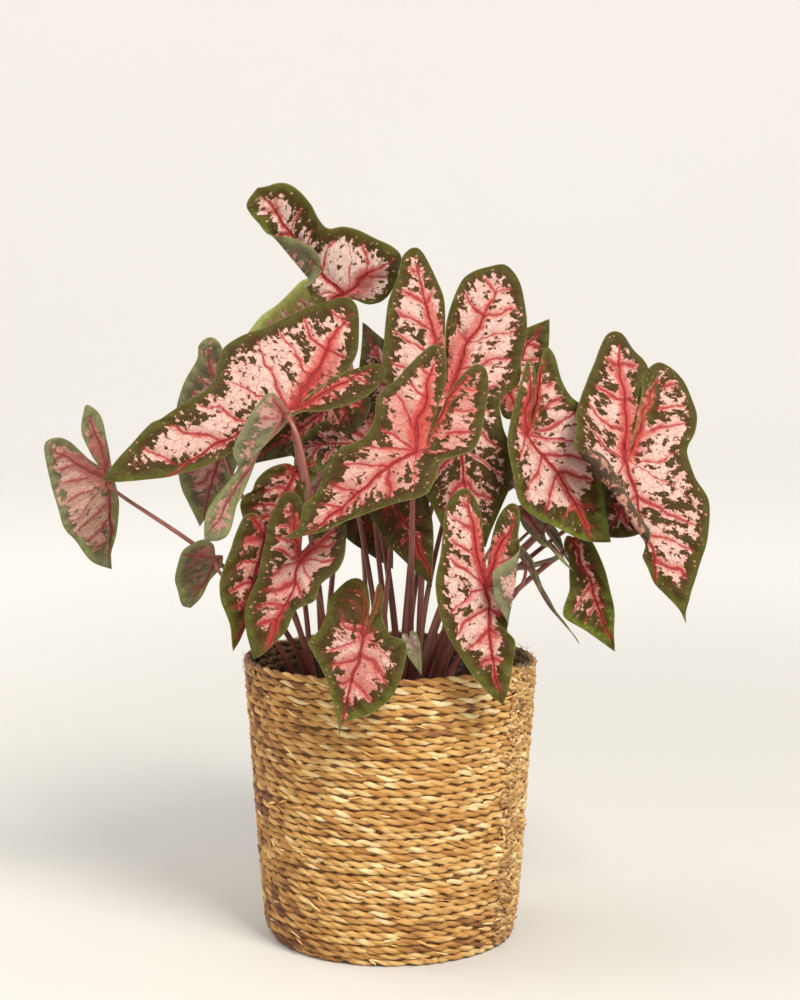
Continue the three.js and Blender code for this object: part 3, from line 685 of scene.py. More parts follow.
def stem(leaf, number, material, stands_for):
    """A tube that tapers from foot to head, widens into a sheath at its foot and swells a little
    where the blade's ribs spread from it."""
    path, along = stem_path(leaf)
    foot_radius, head_radius = np.array(leaf["stem"]) * STEM_SCALE * STOUT_STEMS.get(leaf["name"], 1)
    radius = foot_radius + (head_radius - foot_radius) * (along / along[-1])
    radius += SHEATH * np.exp(-along / 9) + NECK * np.exp(-(along[-1] - along) / 3)
    path[0, 2] -= STEM_SINK
    points, faces, lengthwise, round_it = tube(path, radius, STEM_SIDES)
    fields = {"along": lengthwise, "share": lengthwise / along[-1], "turn": turned(1, round_it, number)}
    piece(f"stem_{leaf['name']}_petiole", points, faces, [material], fields, stands_for)


# ---- basket --------------------------------------------------------------------------------------
def basket_radius(z):
    """The basket's outer radius at height z: the wall leans out evenly, its foot slightly drawn in."""
    lean = (BASKET_RIM_RADIUS - BASKET_FOOT_RADIUS) * z / BASKET_HEIGHT
    return BASKET_FOOT_RADIUS + lean - FOOT_DRAWN_IN * np.exp(-z / 9)


def cord_path():
    """The middle of the one long cord: a flat spiral from the middle of the floor to its edge, then
    courses on top of each other up the wall."""
    floor_turns = (basket_radius(CORD / 2) - CORD / 2) / CORD
    turns = floor_turns + (BASKET_HEIGHT - CORD) / CORD
    turn = np.arange(FIRST_TURN, turns, 1 / 260)
    on_floor = turn < floor_turns
    z = np.where(on_floor, CORD / 2, CORD / 2 + (turn - floor_turns) * CORD) + 0.4
    radius = np.where(on_floor, turn * CORD, basket_radius(z) - CORD / 2)
    radius = radius + wander(turn * 9, 71) * COURSE_SWAY * ~on_floor
    off_floor, under_rim = smoothstep(z, 4, 12), smoothstep(BASKET_HEIGHT - z, 3, 12)
    z = z + wander(turn * 7, 72, CORD_HEIGHTS) * COURSE_WAVE * off_floor * under_rim
    angle = 2 * math.pi * (turn - turns) + CORD_END_AZIMUTH
    path, outward = turned(radius, angle, z), turned(1, angle, 0)
    outward[on_floor] = (0, 0, -1)
    length = distance_along(path)
    even = np.arange(0, length[-1], CORD_STEP)
    return resample(path, length, even), unit(resample(outward, length, even)), even


def strand(path, outward, along, number):
    """One of the two strands of the cord: a creased tube whose middle circles the cord's own middle
    once in every TWIST of length."""
    tangent = unit(np.gradient(path, axis=0))
    up = np.cross(outward, tangent)

    def uneven(x, seed, count=CORD_HEIGHTS):
        return wander(x, seed + number, count)

    phase = 2 * math.pi * along / TWIST + number * math.pi + uneven(along / 34, 80) * 0.9
    offset = STRAND_OFFSET + 0.2 * uneven(along / 11, 82)
    middle = path + offset[:, None] * (np.cos(phase)[:, None] * outward - np.sin(phase)[:, None] * up)
    radius = STRAND_RADIUS + 0.22 * uneven(along / 9, 84) + 0.15 * uneven(along / 3.5, 86, 2 * CORD_HEIGHTS)
    points, faces, lengthwise, round_it = tube(middle, radius, STRAND_SIDES, across=outward)
    skin = slice(0, -2)  # all but the two end points
    turn, far = round_it[skin], lengthwise[skin]
    crease = 0.13 * np.cos(3 * turn + 5 * uneven(far / 25, 88))
    crease += 0.09 * np.cos(5 * turn - 4 * uneven(far / 17, 89))
    points[skin] += (points[skin] - np.repeat(middle, STRAND_SIDES, axis=0)) * crease[:, None]
    points[:, 2] = np.maximum(points[:, 2], 0.05)
    return points, faces, lengthwise, round_it


def left_side_painted_shade(points):
    """How much painted shade darkens the wall, 0 to 1: most round the worn place at the rim, and all down that
    side, the left, which is turned from the key lamp.
    """
    azimuth = np.arctan2(points[:, 1], points[:, 0]) - FRAYED_AZIMUTH - math.radians(8)
    return np.exp((np.cos(azimuth) - 1) / 0.22)


def inner_shade_share(points):
    """How far towards the dim inner side of the wall each point of the cord lies, 0 to 1: how much painted
    shade it takes.
    """
    middle = basket_radius(points[:, 2]) - CORD / 2
    return smoothstep(middle - np.linalg.norm(points[:, :2], axis=1), -0.4, 1.6)


def basket(material, gap_shade, turns=96, rows=24):
    """Both strands of the cord, and behind their gaps a thin dark wall, painted shade for the grooves between
    the courses.
    """
    path, outward, along = cord_path()
    for number, name in enumerate(("basket_cord_first_strand", "basket_cord_second_strand")):
        points, faces, lengthwise, round_it = strand(path, outward, along, number)
        tone = 0.5 * wander(lengthwise / 31, 90 + number, CORD_HEIGHTS)
        tone += 0.6 * wander(lengthwise / 8, 92 + number, CORD_HEIGHTS)
        # painted shade down the left side of the wall; the wall is also darker towards the bottom
        tone += 0.16 - 0.65 * left_side_painted_shade(points) - 0.35 * smoothstep(-points[:, 2], -36, -8)
        fields = {
            "along": lengthwise,
            "tone": tone,
            "painted_inner_shade": inner_shade_share(points),
            "turn": turned(1, round_it, number),
        }
        piece(name, points, faces, [material], fields, ["basket"])
    z = np.linspace(2.5, BASKET_HEIGHT - 3.5, rows)[:, None]
    rings = [turned(basket_radius(z) - CORD / 2 + side, round_angles(turns), z) for side in (0.3, -0.3)]
    size, low = rows * turns, np.arange(turns)
    top = low + size - turns
    faces = [
        quads(rows, turns),
        quads(rows, turns, first=size)[:, ::-1],
        band(top, top + size),
        band(low, low + size)[:, [0, 3, 2, 1]],
    ]
    piece("basket_gap_backing", np.reshape(rings, (-1, 3)), faces, [gap_shade])


def many_tubes(paths, radii, sides):
    """Tubes along many short paths at once; paths are an array of (tube, step, xyz) and radii of
    (tube, step). Returns the points, faces, and a random number for each tube at its vertices."""
    count, steps, _ = paths.shape
    tangent = unit(np.gradient(paths, axis=1))
    helper = np.where(np.abs(tangent[..., 2:]) > 0.8, [[[1.0, 0, 0]]], [[[0, 0, 1.0]]])
    side = unit(np.cross(tangent, helper))
    up = np.cross(tangent, side)
    turn = round_angles(sides)
    ring = side[:, :, None] * np.cos(turn)[:, None] + up[:, :, None] * np.sin(turn)[:, None]
    body = (paths[:, :, None] + ring * radii[:, :, None, None]).reshape(count, -1, 3)
    points = np.concatenate([body, paths[:, :1], paths[:, -1:]], axis=1)
    size = steps * sides + 2
    first = (np.arange(count) * size)[:, None, None]
    faces = [(group[None] + first).reshape(-1, group.shape[1]) for group in capped(steps, sides)]
    luck = np.random.RandomState(count).uniform(-1, 1, count)
    return points.reshape(-1, 3), faces, np.repeat(luck, size)


def loose_ends(name, azimuth, z, out, radii, sides, shade, spread, material):
    """Short pieces of grass over the wall: tubes at those angles and heights, standing out from it.
    Their tones lie round a shade, and differ from it by up to the spread."""
    z = np.clip(z, 1.2, BASKET_HEIGHT + 3)
    points, faces, luck = many_tubes(turned(basket_radius(z) + out, azimuth, z), radii, sides)
    tone = shade + spread * luck
    fields = {
        "along": points[:, 0] + points[:, 2],
        "tone": tone,
        "turn": np.column_stack([unit(points)[:, :2], 40 * tone]),
        "painted_inner_shade": inner_shade_share(points),
    }
    piece(name, points, faces, [material], fields)


def dice(seed, count):
    """Seeded draws, one for each of many pieces: numbers between two limits, and which way round."""
    rng = np.random.RandomState(seed)
    return rng, lambda low, high: rng.uniform(low, high, (count, 1)), lambda: rng.choice([-1, 1], (count, 1))


def basket_flakes(material):
    """Loose ends and flakes: thin slivers that lie along the cord and lift off it at one end."""
    _, draw, way = dice(61, FLAKES)
    azimuth = draw(0, 2 * math.pi)
    z = draw(4, BASKET_HEIGHT - 4)
    length = draw(4, 10) * way()
    share = np.linspace(0, 1, 6)
    slope = draw(-0.5, 0.15) * np.sign(length)
    lifted = draw(0.3, 2.2) * draw(0.2, 1)
    around = azimuth + length * share / MIDDLE_RADIUS
    up = z + slope * np.abs(length) * share + draw(-1, 1) * share**2 * 2
    out = -0.4 + lifted * share**1.6 + 0.3 * np.sin(share * 6 + azimuth * 40)
    radii = draw(0.25, 0.8) * np.sin(math.pi * (0.08 + 0.86 * share)) ** 0.6
    loose_ends("basket_flakes", around, up, out, radii, 5, 0.1, 0.6, material)


def basket_joint(material):
    """The column where cord ends are tucked in: short, crumpled, wriggling ends piled up the wall."""
    rng, draw, way = dice(62, TUCKED_ENDS)
    share = np.linspace(0, 1, 9)
    z = np.linspace(4, BASKET_HEIGHT - 2.5, TUCKED_ENDS)[:, None] + draw(-1.5, 1.5)
    azimuth = CORD_END_AZIMUTH + draw(-0.08, 0.13)
    length = draw(5, 12) * way()
    wriggle = rng.uniform(0, 6.28, (3, TUCKED_ENDS, 1))
    around = azimuth + length * (share - 0.5) / MIDDLE_RADIUS + 0.012 * np.sin(9 * share + wriggle[0])
    up = z + 1.0 * np.sin(7 * share + wriggle[1]) + draw(-3, 3) * (share - 0.5)
    out = -0.9 + draw(0, 1.2) + 0.7 * np.sin(8 * share + wriggle[2])
    up = np.clip(up, 2, BASKET_HEIGHT - 1)
    radii = draw(0.5, 1.2) * np.sin(math.pi * (0.1 + 0.8 * share)) ** 0.5
    radii = radii * (1 + 0.25 * np.sin(21 * share + wriggle[0]))
    loose_ends("basket_joint_ends", around, up, out, radii, 7, -0.1, 0.6, material)


def basket_hairs(material):
    """Thin stray fibres over the wall, thickest along the joint, the rim and the rim's frayed place."""
    rng, draw, way = dice(63, STRAY_FIBRES)
    share = np.linspace(0, 1, 6)
    spread = np.where(draw(0, 1) < 0.35, 0.1, 3.14)
    azimuth = CORD_END_AZIMUTH + draw(-1, 1) * spread
    at_rim = draw(0, 1) < 0.3
    frayed = draw(0, 1) < 0.22
    azimuth = np.where(frayed, FRAYED_AZIMUTH + rng.normal(0, 0.16, (STRAY_FIBRES, 1)), azimuth)
    z = np.where(at_rim, BASKET_HEIGHT - 2, draw(3, BASKET_HEIGHT - 3))
    z = np.where(frayed, BASKET_HEIGHT - draw(1, 14), z)
    around = azimuth + draw(4, 11) * way() * share / MIDDLE_RADIUS
    up = z + draw(-2, 2.5) * share + draw(-2, 2) * share**2
    out = -0.6 + draw(0.3, 2.6) * share
    out = np.where(at_rim, out - 1.5, out)
    radii = draw(0.1, 0.22) * (1 - 0.8 * share)
    loose_ends("basket_stray_fibres", around, up, out, radii, 3, 0.3, 0.5, material)


# ---- liner, soil and tubers ----------------------------------------------------------------------
def liner(material, turns=288, rows=44):
    """A sheet turned about the basket's axis, crumpled in and out, with an uneven top."""
    a = np.broadcast_to(round_angles(turns), (rows, turns))
    share = np.linspace(0, 1, rows)[:, None]
    top = LINER_TOP - 1 + 3.2 * wander(a * 5.1, 31) + 1.3 * wander(a * 17, 32)
    z = LINER_FLOOR + (top - LINER_FLOOR) * share**0.7
    crumple = 1.2 * ground(a * 6, z / 11, 33) + 0.7 * ground(a * 15, z / 5, 34)
    radius = BASKET_FOOT_RADIUS + 11 * z / BASKET_HEIGHT - CORD - 2.6 + crumple
    sides = [turned(radius, a, z), turned(radius - LINER_FILM, a, z + 0.3)]
    points = np.vstack([np.reshape(sides, (-1, 3)), [[0, 0, 6.6]], [[0, 0, 7.2]]])
    size, ring = rows * turns, np.arange(turns)
    lip = ring + size - turns
    faces = [
        quads(rows, turns),
        quads(rows, turns, first=size)[:, ::-1],
        band(lip, lip + size),
        fan(2 * size, ring, False),
        fan(2 * size + 1, ring + size),
    ]
    piece("liner_film", points, faces, [material], None, ["basket_liner"])


def soil(material, turns=200, rows=70):
    """A round heap of soil: a lumpy surface over the liner's width, closed by a flat underside."""
    angle = round_angles(turns)
    reach = LINER_RADIUS_AT_SOIL * np.linspace(1, 0.012, rows)[:, None]
    x, y = reach * np.cos(angle), reach * np.sin(angle)
    height = SOIL_TOP
    for width, rise, shift, seed in ((16, 2.0, 9, 41), (5, 1.1, 20, 42), (2.1, 0.6, 40, 43)):
        height = height + rise * ground(x / width + shift, y / width + shift, seed)
    height -= 1.5 * smoothstep(reach, 66, 76)
    top = turned(reach, angle, height).reshape(-1, 3)
    foot = turned(SOIL_FOOT_RADIUS, angle, SOIL_FLOOR)
    points = np.vstack([top, [[0, 0, height[-1].mean()]], foot, [[0, 0, SOIL_FLOOR]]])
    size, ring = rows * turns, np.arange(turns)
    low = ring + size + 1
    faces = [
        quads(rows, turns),
        fan(size, ring + size - turns),
        band(low, ring),
        fan(size + 1 + turns, low, False),
    ]
    piece("soil_fill", points, faces, [material], None, ["soil"])


def tuber(name, facts, material, turns=56, rows=28):
    """A flattened ball of rings between two poles, roughened by knobs, whose crown just clears the soil."""
    lat = np.linspace(-math.pi / 2, math.pi / 2, rows + 2)[1:-1, None]
    lon = round_angles(turns)
    knobs = 1 + 0.05 * ground(lon * 2.1 + 0 * lat + 7, lat * 3 + 7 + 0 * lon, 51)
    radii = np.array([facts["radius"], facts["radius"], facts["height"] / 2])
    points = turned(np.cos(lat), lon, np.sin(lat)) * knobs[..., None] * radii
    poles = radii * [[0, 0, -1], [0, 0, 1]]
    middle = (*facts["middle"], facts["top"] - facts["height"] / 2)
    points = np.vstack([points.reshape(-1, 3), poles]) + middle
    piece(f"{name}_body", points, capped(rows, turns), [material], None, [name])


# ---- wiring of materials -------------------------------------------------------------------------
def paint(code):
    """A hex colour as linear red, green, blue and alpha."""
    parts = [int(code[i : i + 2], 16) / 255 for i in (1, 3, 5)]
    return (*[c / 12.92 if c <= 0.04045 else ((c + 0.055) / 1.055) ** 2.4 for c in parts], 1.0)


def arithmetic(operation, swapped=False):
    """A method that joins two values by a maths node."""

    def joined(self, other):
        return self.wires.math(operation, *((other, self) if swapped else (self, other)))

    return joined


class Value:
    """What a node gives. Sums, differences, products and quotients of values make more nodes."""

    def __init__(self, wires, socket):
        self.wires, self.socket = wires, socket

    __add__ = __radd__ = arithmetic("ADD")
    __mul__ = __rmul__ = arithmetic("MULTIPLY")
    __sub__, __rsub__ = arithmetic("SUBTRACT"), arithmetic("SUBTRACT", True)
    __truediv__, __rtruediv__ = arithmetic("DIVIDE"), arithmetic("DIVIDE", True)

    def __abs__(self):
        return self.wires.math("ABSOLUTE", self)


class Wires:
    """Adds nodes to a node tree. A node is fed numbers, tuples, hex colours and other nodes' values."""

    def __init__(self, tree):
        self.tree = tree

    def feed(self, socket, value):
        if isinstance(value, Value):
            self.tree.links.new(value.socket, socket)
        else:
            socket.default_value = paint(value) if isinstance(value, str) else value

    def gives(self, node):
        """Everything that a node gives, by name."""
        return {socket.name: Value(self, socket) for socket in node.outputs}

    def node(self, kind, inputs, output=None, **settings):
        """A new node, or the value it gives at the named output."""
        made = self.tree.nodes.new(kind)
        for key, value in settings.items():
            setattr(made, key, value)
        for key, value in inputs.items():
            self.feed(made.inputs[key], value)
        return made if output is None else Value(self, made.outputs[output])

    def math(self, operation, *values):
        return self.node("ShaderNodeMath", dict(enumerate(values)), 0, operation=operation)

    def larger(self, first, *others):
        for other in others:
            first = self.math("MAXIMUM", first, other)
        return first

    def smaller(self, one, other):
        return self.math("MINIMUM", one, other)

    def vector(self, operation, one, other=None):
        inputs = {0: one}
        if other is not None:
            inputs["Scale" if operation == "SCALE" else 1] = other
        output = "Value" if operation in ("DOT_PRODUCT", "LENGTH") else "Vector"
        return self.node("ShaderNodeVectorMath", inputs, output, operation=operation)

    def join(self, x, y, z=0):
        return self.node("ShaderNodeCombineXYZ", {"X": x, "Y": y, "Z": z}, 0)

    def parts(self, vector):
        return self.gives(self.node("ShaderNodeSeparateXYZ", {"Vector": vector})).values()

    def ramp(self, value, low, high, start=0, end=1, smooth=True):
        """Start below low, end above high, and eased between."""
        inputs = {"Value": value, "From Min": low, "From Max": high, "To Min": start, "To Max": end}
        kind = "SMOOTHSTEP" if smooth else "LINEAR"
        return self.node("ShaderNodeMapRange", inputs, "Result", interpolation_type=kind)

    def fade(self, value, low, high):
        """1 below low, 0 above high, and eased between."""
        return self.ramp(value, low, high, 1, 0)

    def mix(self, share, one, other):
        return self.node("ShaderNodeMix", {0: share, 6: one, 7: other}, 2, data_type="RGBA")

    def coats(self, colour, *coats):
        """A colour with others laid over it in turn, each given as its share and itself."""
        for share, coat in coats:
            colour = self.mix(share, colour, coat)
        return colour

    def pick(self, share, one, other):
        """One number where share is 0, the other where it is 1."""
        return self.node("ShaderNodeMix", {0: share, 2: one, 3: other}, 0, data_type="FLOAT")

    def noise(self, vector, scale, detail=2, rough=0.5, output="Fac"):
        inputs = {"Vector": vector, "Scale": scale, "Detail": detail, "Roughness": rough}
        return self.node("ShaderNodeTexNoise", inputs, output)

    def cells(self, vector, scale, feature="F1", dimensions="2D"):
        """Many-sided cells: the distance to their middles or edges, and each one's middle and colour."""
        inputs = {"Vector": vector, "Scale": scale}
        settings = {"voronoi_dimensions": dimensions, "feature": feature}
        return self.gives(self.node("ShaderNodeTexVoronoi", inputs, **settings))

    def field(self, name, output="Fac"):
        return self.node("ShaderNodeAttribute", {}, output, attribute_name=name)

    def spot(self):
        """Where a point lies, in metres."""
        return self.node("ShaderNodeTexCoord", {}, "Object")

    def surface(self, colour, roughness, bump, gloss=0.5):
        """Feeds the material's own shader. Bump is a height, its strength and its depth in metres."""
        normal = self.node("ShaderNodeBump", dict(zip(("Height", "Strength", "Distance"), bump)), "Normal")
        inputs = self.tree.nodes["Principled BSDF"].inputs
        inputs["Specular IOR Level"].default_value = gloss
        for label, value in (("Base Color", colour), ("Roughness", roughness), ("Normal", normal)):
            self.feed(inputs[label], value)
        return normal


def node_group(name, inputs, outputs):
    """A new shader group with named sockets. Returns it, its wires, what it is given, by name, and a
    function that feeds what it gives."""
    tree = bpy.data.node_groups.new(name, "ShaderNodeTree")
    for label, kind, value in inputs:
        socket = tree.interface.new_socket(label, in_out="INPUT", socket_type=kind)
        socket.default_value = value
    for label, kind in outputs:
        tree.interface.new_socket(label, in_out="OUTPUT", socket_type=kind)
    w = Wires(tree)
    entry, leave = w.node("NodeGroupInput", {}), w.node("NodeGroupOutput", {})

    def give(**values):
        for label, value in values.items():
            w.feed(leave.inputs[label], value)

    return tree, w, w.gives(entry), give


def new_material(name):
    """A new material and its wires."""
    material = bpy.data.materials.new(name)
    material.use_nodes = True
    return material, Wires(material.node_tree)


def use_group(w, tree, **inputs):
    """Places a group and returns what it gives, by name."""
    return w.gives(w.node("ShaderNodeGroup", inputs, node_tree=tree))


FLOAT, VECTOR = "NodeSocketFloat", "NodeSocketVector"


def vein_group():
    """Where the veins of a blade run. The midrib follows u, a rib runs into each back lobe, and side
    veins leave every rib at a slant, evenly spaced, curving towards its end: a point belongs to side
    vein number (along - slant times off - curve times off squared) / spacing, with off its distance
    from the rib. Slow noises sway them all. Halo is the flush round every vein, Near the part of it
    next to the vein, and Flame the red band along a rib. Quilt rises between the veins, Netting is
    the finest veins, Inner the half of a back lobe that faces the notch, and Weave the blade's plane
    drawn out along the side veins, for the markings to follow."""
    shares = ("Rib", "Side", "Halo", "Near", "Flame", "Quilt", "Netting", "Inner", "Tip")
    tree, w, given, give = node_group(
        "blade veins",
        [("Spacing", FLOAT, 0.2), ("Slant", FLOAT, 0.62), ("Curve", FLOAT, 0.55)],
        [*[(label, FLOAT) for label in shares], ("Weave", VECTOR)],
    )
    flat = w.field("flat", "Vector")
    u0, v0, seed = w.parts(flat)
    own = w.vector("ADD", flat, w.join(seed * 137, seed * 71))
    sway = w.vector("SUBTRACT", w.noise(own, 0.035, 2, 0.55, "Color"), (0.5, 0.5, 0.5))
    sway_u, sway_v, _ = w.parts(sway)
    u, v = sway_u * 20 + u0, sway_v * 12 + v0
    here = w.join(u, v)
    rib = w.field("rib", "Vector")
    rib_u, rib_v, rib_length = w.parts(rib)
    along = w.vector("DOT_PRODUCT", here, rib)
    cross = rib_u * v - rib_v * u
    inner = cross * w.field("side")
    off, mid_off = abs(cross), abs(v)

    def distance(off_it, along_it, length):
        """Distance from a rib of that length, its ends rounded."""
        return w.vector("LENGTH", w.join(off_it, w.smaller(along_it, 0), w.larger(along_it - length, 0)))

    reach = w.field("reach")
    mid_share, lobe_share = u / reach, along / rib_length
    mid_gap = distance(mid_off, u, reach) - w.ramp(mid_share, 0, 1, 0.7, 0.15)
    lobe_gap = distance(off, along, rib_length) - w.ramp(lobe_share, 0, 1, 0.85, 0.1)
    gap = w.smaller(mid_gap, lobe_gap)
    give(Rib=w.fade(gap, -0.4, 0.4), Tip=w.ramp(reach - u0, 3, 12, 0.95, 0))

    spacing = w.larger(given["Spacing"] * reach, 9)
    curve = given["Curve"] / reach

    def number(along_it, off_it):
        """The number, with its fraction, of the side vein that a point belongs to."""
        return (along_it - off_it * given["Slant"] - off_it * off_it * curve) / spacing

    mid_number, lobe_number = number(u, mid_off), number(along, off)
    on_mid = w.math("GREATER_THAN", mid_number, 0)
    vein = w.pick(on_mid, lobe_number, mid_number)
    side_off = w.pick(on_mid, off, mid_off)
    vein_distance = w.math("PINGPONG", vein, 0.5) * spacing * 0.8
    code = seed * 31 + (w.math("GREATER_THAN", v, 0) * 7.3 + w.math("ROUND", vein))
    chance = w.node("ShaderNodeTexWhiteNoise", {"W": code}, "Value", noise_dimensions="1D")
    width = w.ramp(side_off, 0, 45, 0.6, 0.1) * w.ramp(chance, 0, 1, 0.5, 1.5)
    side_gap = vein_distance - width
    there = w.ramp(w.larger(mid_number, lobe_number), -0.15, 0)
    fading = there * w.ramp(w.field("edge"), 3, 9) * w.fade(mid_share, 0.72, 0.92)
    give(Side=w.fade(side_gap, -0.35, 0.4) * fading)

    tongue = w.fade(lobe_share, 0.3, 1.05)
    give(Inner=w.ramp(inner, -2, 1.5) * (tongue * w.fade(u0, 0, 5)))
    worn = (w.noise(own, 0.32, 3, 0.65) - 0.5) * 9
    wide = w.larger(w.ramp(inner, -1.5, 2, 6.5, 17) * tongue, 1)
    lobe_halo = w.fade(lobe_gap + worn, wide * 0.35, wide)
    mid_halo = w.ramp(mid_gap + worn, -0.5, w.ramp(mid_share, 0, 0.5, 4.5, 2.4), 0.95, 0)
    side_reach = w.ramp(side_off, 3, 40, 3.4, 0.8) * w.ramp(chance, 0, 1, 0.6, 1.25)
    side_halo = w.ramp(worn * 0.7 + side_gap, -0.3, side_reach, fading * 0.95, 0)
    give(Halo=w.larger(lobe_halo, mid_halo, side_halo))

    frayed = worn * 0.5

    def fire(gap_it, reach_it, share, strength):
        """A flame along a rib, reaching that far from it and that strong."""
        edge_it = reach_it * strength + 0.3
        return w.fade(gap_it + frayed, edge_it * 0.4, edge_it) * share * strength

    burning = w.ramp(mid_share, 0.3, 0.5) * w.fade(mid_share, 0.9, 0.98)
    mid_fire = fire(mid_gap, w.ramp(mid_share, 0.55, 1, 4, 1.3), burning, w.field("mid_red"))
    lobe_fire = fire(lobe_gap, 3.7, w.fade(lobe_share, 0.6, 0.95), w.field("lobe_red"))
    give(Flame=w.larger(mid_fire, lobe_fire))
    mid_near = w.fade(mid_gap + frayed, -0.2, 1.2)
    lobe_near = w.fade(lobe_gap + frayed, -0.2, w.ramp(lobe_share, 0, 1, 3.2, 1.6))
    side_near = w.ramp(side_gap + frayed, -0.2, side_reach * 0.28, fading * 0.8, 0)
    give(Near=w.larger(lobe_near, mid_near, side_near), Quilt=w.ramp(w.smaller(vein_distance, gap), 0, 5.5))

    shift = w.vector("MULTIPLY", w.noise(own, 0.35, 1, output="Color"), (3, 3, 0))
    swayed = w.vector("ADD", own, shift)
    coarse, fine = (w.cells(swayed, scale, "DISTANCE_TO_EDGE")["Distance"] for scale in (0.16, 0.55))
    give(Netting=w.larger(w.fade(coarse, 0.008, 0.04), w.ramp(fine, 0.02, 0.11, 0.6, 0)))
    across = w.math("SIGN", cross) * 0.85
    lean_u = w.pick(on_mid, rib_u * 0.53 - rib_v * across, 0.53)
    lean_v = w.pick(on_mid, rib_v * 0.53 + rib_u * across, w.math("SIGN", v) * 0.85)
    lean = w.join(lean_u, lean_v)
    squeeze = w.vector("DOT_PRODUCT", here, lean) * -0.32
    drawn = w.vector("ADD", own, w.vector("SCALE", lean, squeeze))
    give(Weave=w.vector("ADD", drawn, w.vector("SCALE", sway, 6)))
    return tree


def marking_group():
    """Which parts of a blade are green. A density is full in the border, fades inwards, and rises
    again in clouds away from the ribs; small many-sided cells each take one value of a noise, and a
    cell is green where its value is below the density there. Brink is where green and pink meet, and
    Speck the pale specks scattered over the green."""
    tree, w, given, give = node_group(
        "blade markings",
        [("Weave", VECTOR, (0, 0, 0)), ("Halo", FLOAT, 0), ("Inner", FLOAT, 0)],
        [(label, FLOAT) for label in ("Green", "Brink", "Speck", "Deep", "Cloud")],
    )
    weave, halo, inner = (given[label] for label in ("Weave", "Halo", "Inner"))
    edge, border = w.field("edge"), w.field("border")
    middle = w.vector("SCALE", w.cells(weave, 1.05)["Position"], 0.55)
    blend = w.vector("ADD", middle, w.vector("SCALE", weave, 0.45))
    grain = w.ramp(w.noise(blend, 0.32, 3, 0.6), 0.3, 0.7, smooth=False)
    uneven = (w.noise(weave, 0.05) - 0.5) * (inner * -12 + 18)
    inward = edge - border * (inner * -0.8 + 1) - uneven
    band_in = w.ramp(inward, -2, inner * -2 + 10, 1.15, 0, smooth=False)
    fringe = w.larger(band_in, w.ramp(edge, 0.6, 2.2, 1.1, 0)) * (halo * -0.35 + 1)
    cloud = w.noise(w.vector("ADD", weave, (71, 33, 0)), 0.075)
    threshold = w.field("green") * -0.3 + 0.64
    clouds = w.ramp(cloud, threshold - 0.08, threshold + 0.12, 0.2, 0.68) * (halo * -0.75 + 1)
    density = w.larger(fringe, clouds, w.ramp(border, 9, 15, 0, 1.2)) - halo * 0.12
    over = density - grain
    give(Green=w.ramp(over, -0.03, 0.03), Brink=w.fade(abs(over), 0.02, 0.11))
    specks = w.cells(weave, 0.36)
    luck, breadth, _ = w.parts(specks["Color"])
    size = w.ramp(luck, 0.5, 1, 0, 0.25) * w.ramp(breadth, 0, 1, 0.4, 1)
    give(Speck=w.fade(specks["Distance"] - size, -0.03, 0.03), Cloud=w.noise(weave, 0.07))
    give(Deep=w.noise(weave, 0.2, 3, 0.6) * 1.1 + w.ramp(edge, 0.5, 7, -0.35, 0.1))
    return tree


def blade_material(name, roughness, relief, colours):
    """Pink between the veins, green where the markings say, red along the ribs, with the veins sunk
    or raised by the relief."""
    material, w = new_material(name)
    vein = use_group(w, veins)
    mark = use_group(w, markings, **{label: vein[label] for label in ("Weave", "Halo", "Inner")})
    pale, pink, salmon, scarlet, red, rust, olive, deep, fresh = colours.split()
    edge, border = w.field("edge"), w.field("border")
    whiter = w.field("pale") * 0.9 + (mark["Cloud"] - 0.6)
    rosy = w.coats(
        pink,
        (w.ramp(whiter, -0.15, 0.45), pale),
        (vein["Netting"] * 0.5, salmon),
        (vein["Halo"] * 0.75, w.mix(vein["Inner"] * 0.6, salmon, scarlet)),
        (vein["Near"] * w.ramp(w.field("mid_red"), 0, 0.3, 0.4, 0.85), scarlet),
    )
    leafy = w.coats(
        w.mix(w.field("fresh"), olive, fresh),
        (w.ramp(mark["Deep"], 0.15, 0.75), deep),
        (vein["Halo"] * w.ramp(border, 10, 18, 0.3, 0.1), red),
        (vein["Near"] * w.ramp(border, 10, 18, 0.42, 0.15), scarlet),
        (vein["Netting"] * 0.15, rust),
        (mark["Speck"] * w.ramp(edge, 0.8, 2, 0, 0.75), pink),
    )
    shown = mark["Green"] * -0.3 + w.ramp(border, 10, 18, 0.65, 0.45)
    colour = w.coats(
        rosy,
        (mark["Green"], leafy),
        (mark["Brink"] * 0.5, rust),
        (vein["Flame"] * 0.78, w.mix(0.15, scarlet, salmon)),
        (vein["Side"] * shown, red),
        (vein["Rib"] * (shown + 0.1), red),
        (vein["Tip"], olive),
        (w.ramp(edge, 0.1, 0.9, 0.4, 0), "#9a9a62"),
    )
    worn = w.ramp(mark["Cloud"], 0.3, 0.7, roughness - 0.06, roughness + 0.08)
    height = vein["Quilt"] * relief + vein["Rib"] * (-0.8 * relief)
    height = vein["Netting"] * (-0.25 * relief) + height
    height = w.noise(w.field("flat", "Vector"), 1.1, 3, 0.6) * 0.3 + height
    normal = w.surface(colour, worn, (height, 0.85, 0.0019), 0.22)
    glow = w.node("ShaderNodeBsdfTranslucent", {"Color": w.mix(0.15, colour, "#dcc070"), "Normal": normal}, 0)
    solid = w.gives(w.tree.nodes["Principled BSDF"])["BSDF"]
    blend = w.node("ShaderNodeMixShader", {0: 0.2, 1: solid, 2: glow}, 0)
    w.feed(w.tree.nodes["Material Output"].inputs["Surface"], blend)
    return material


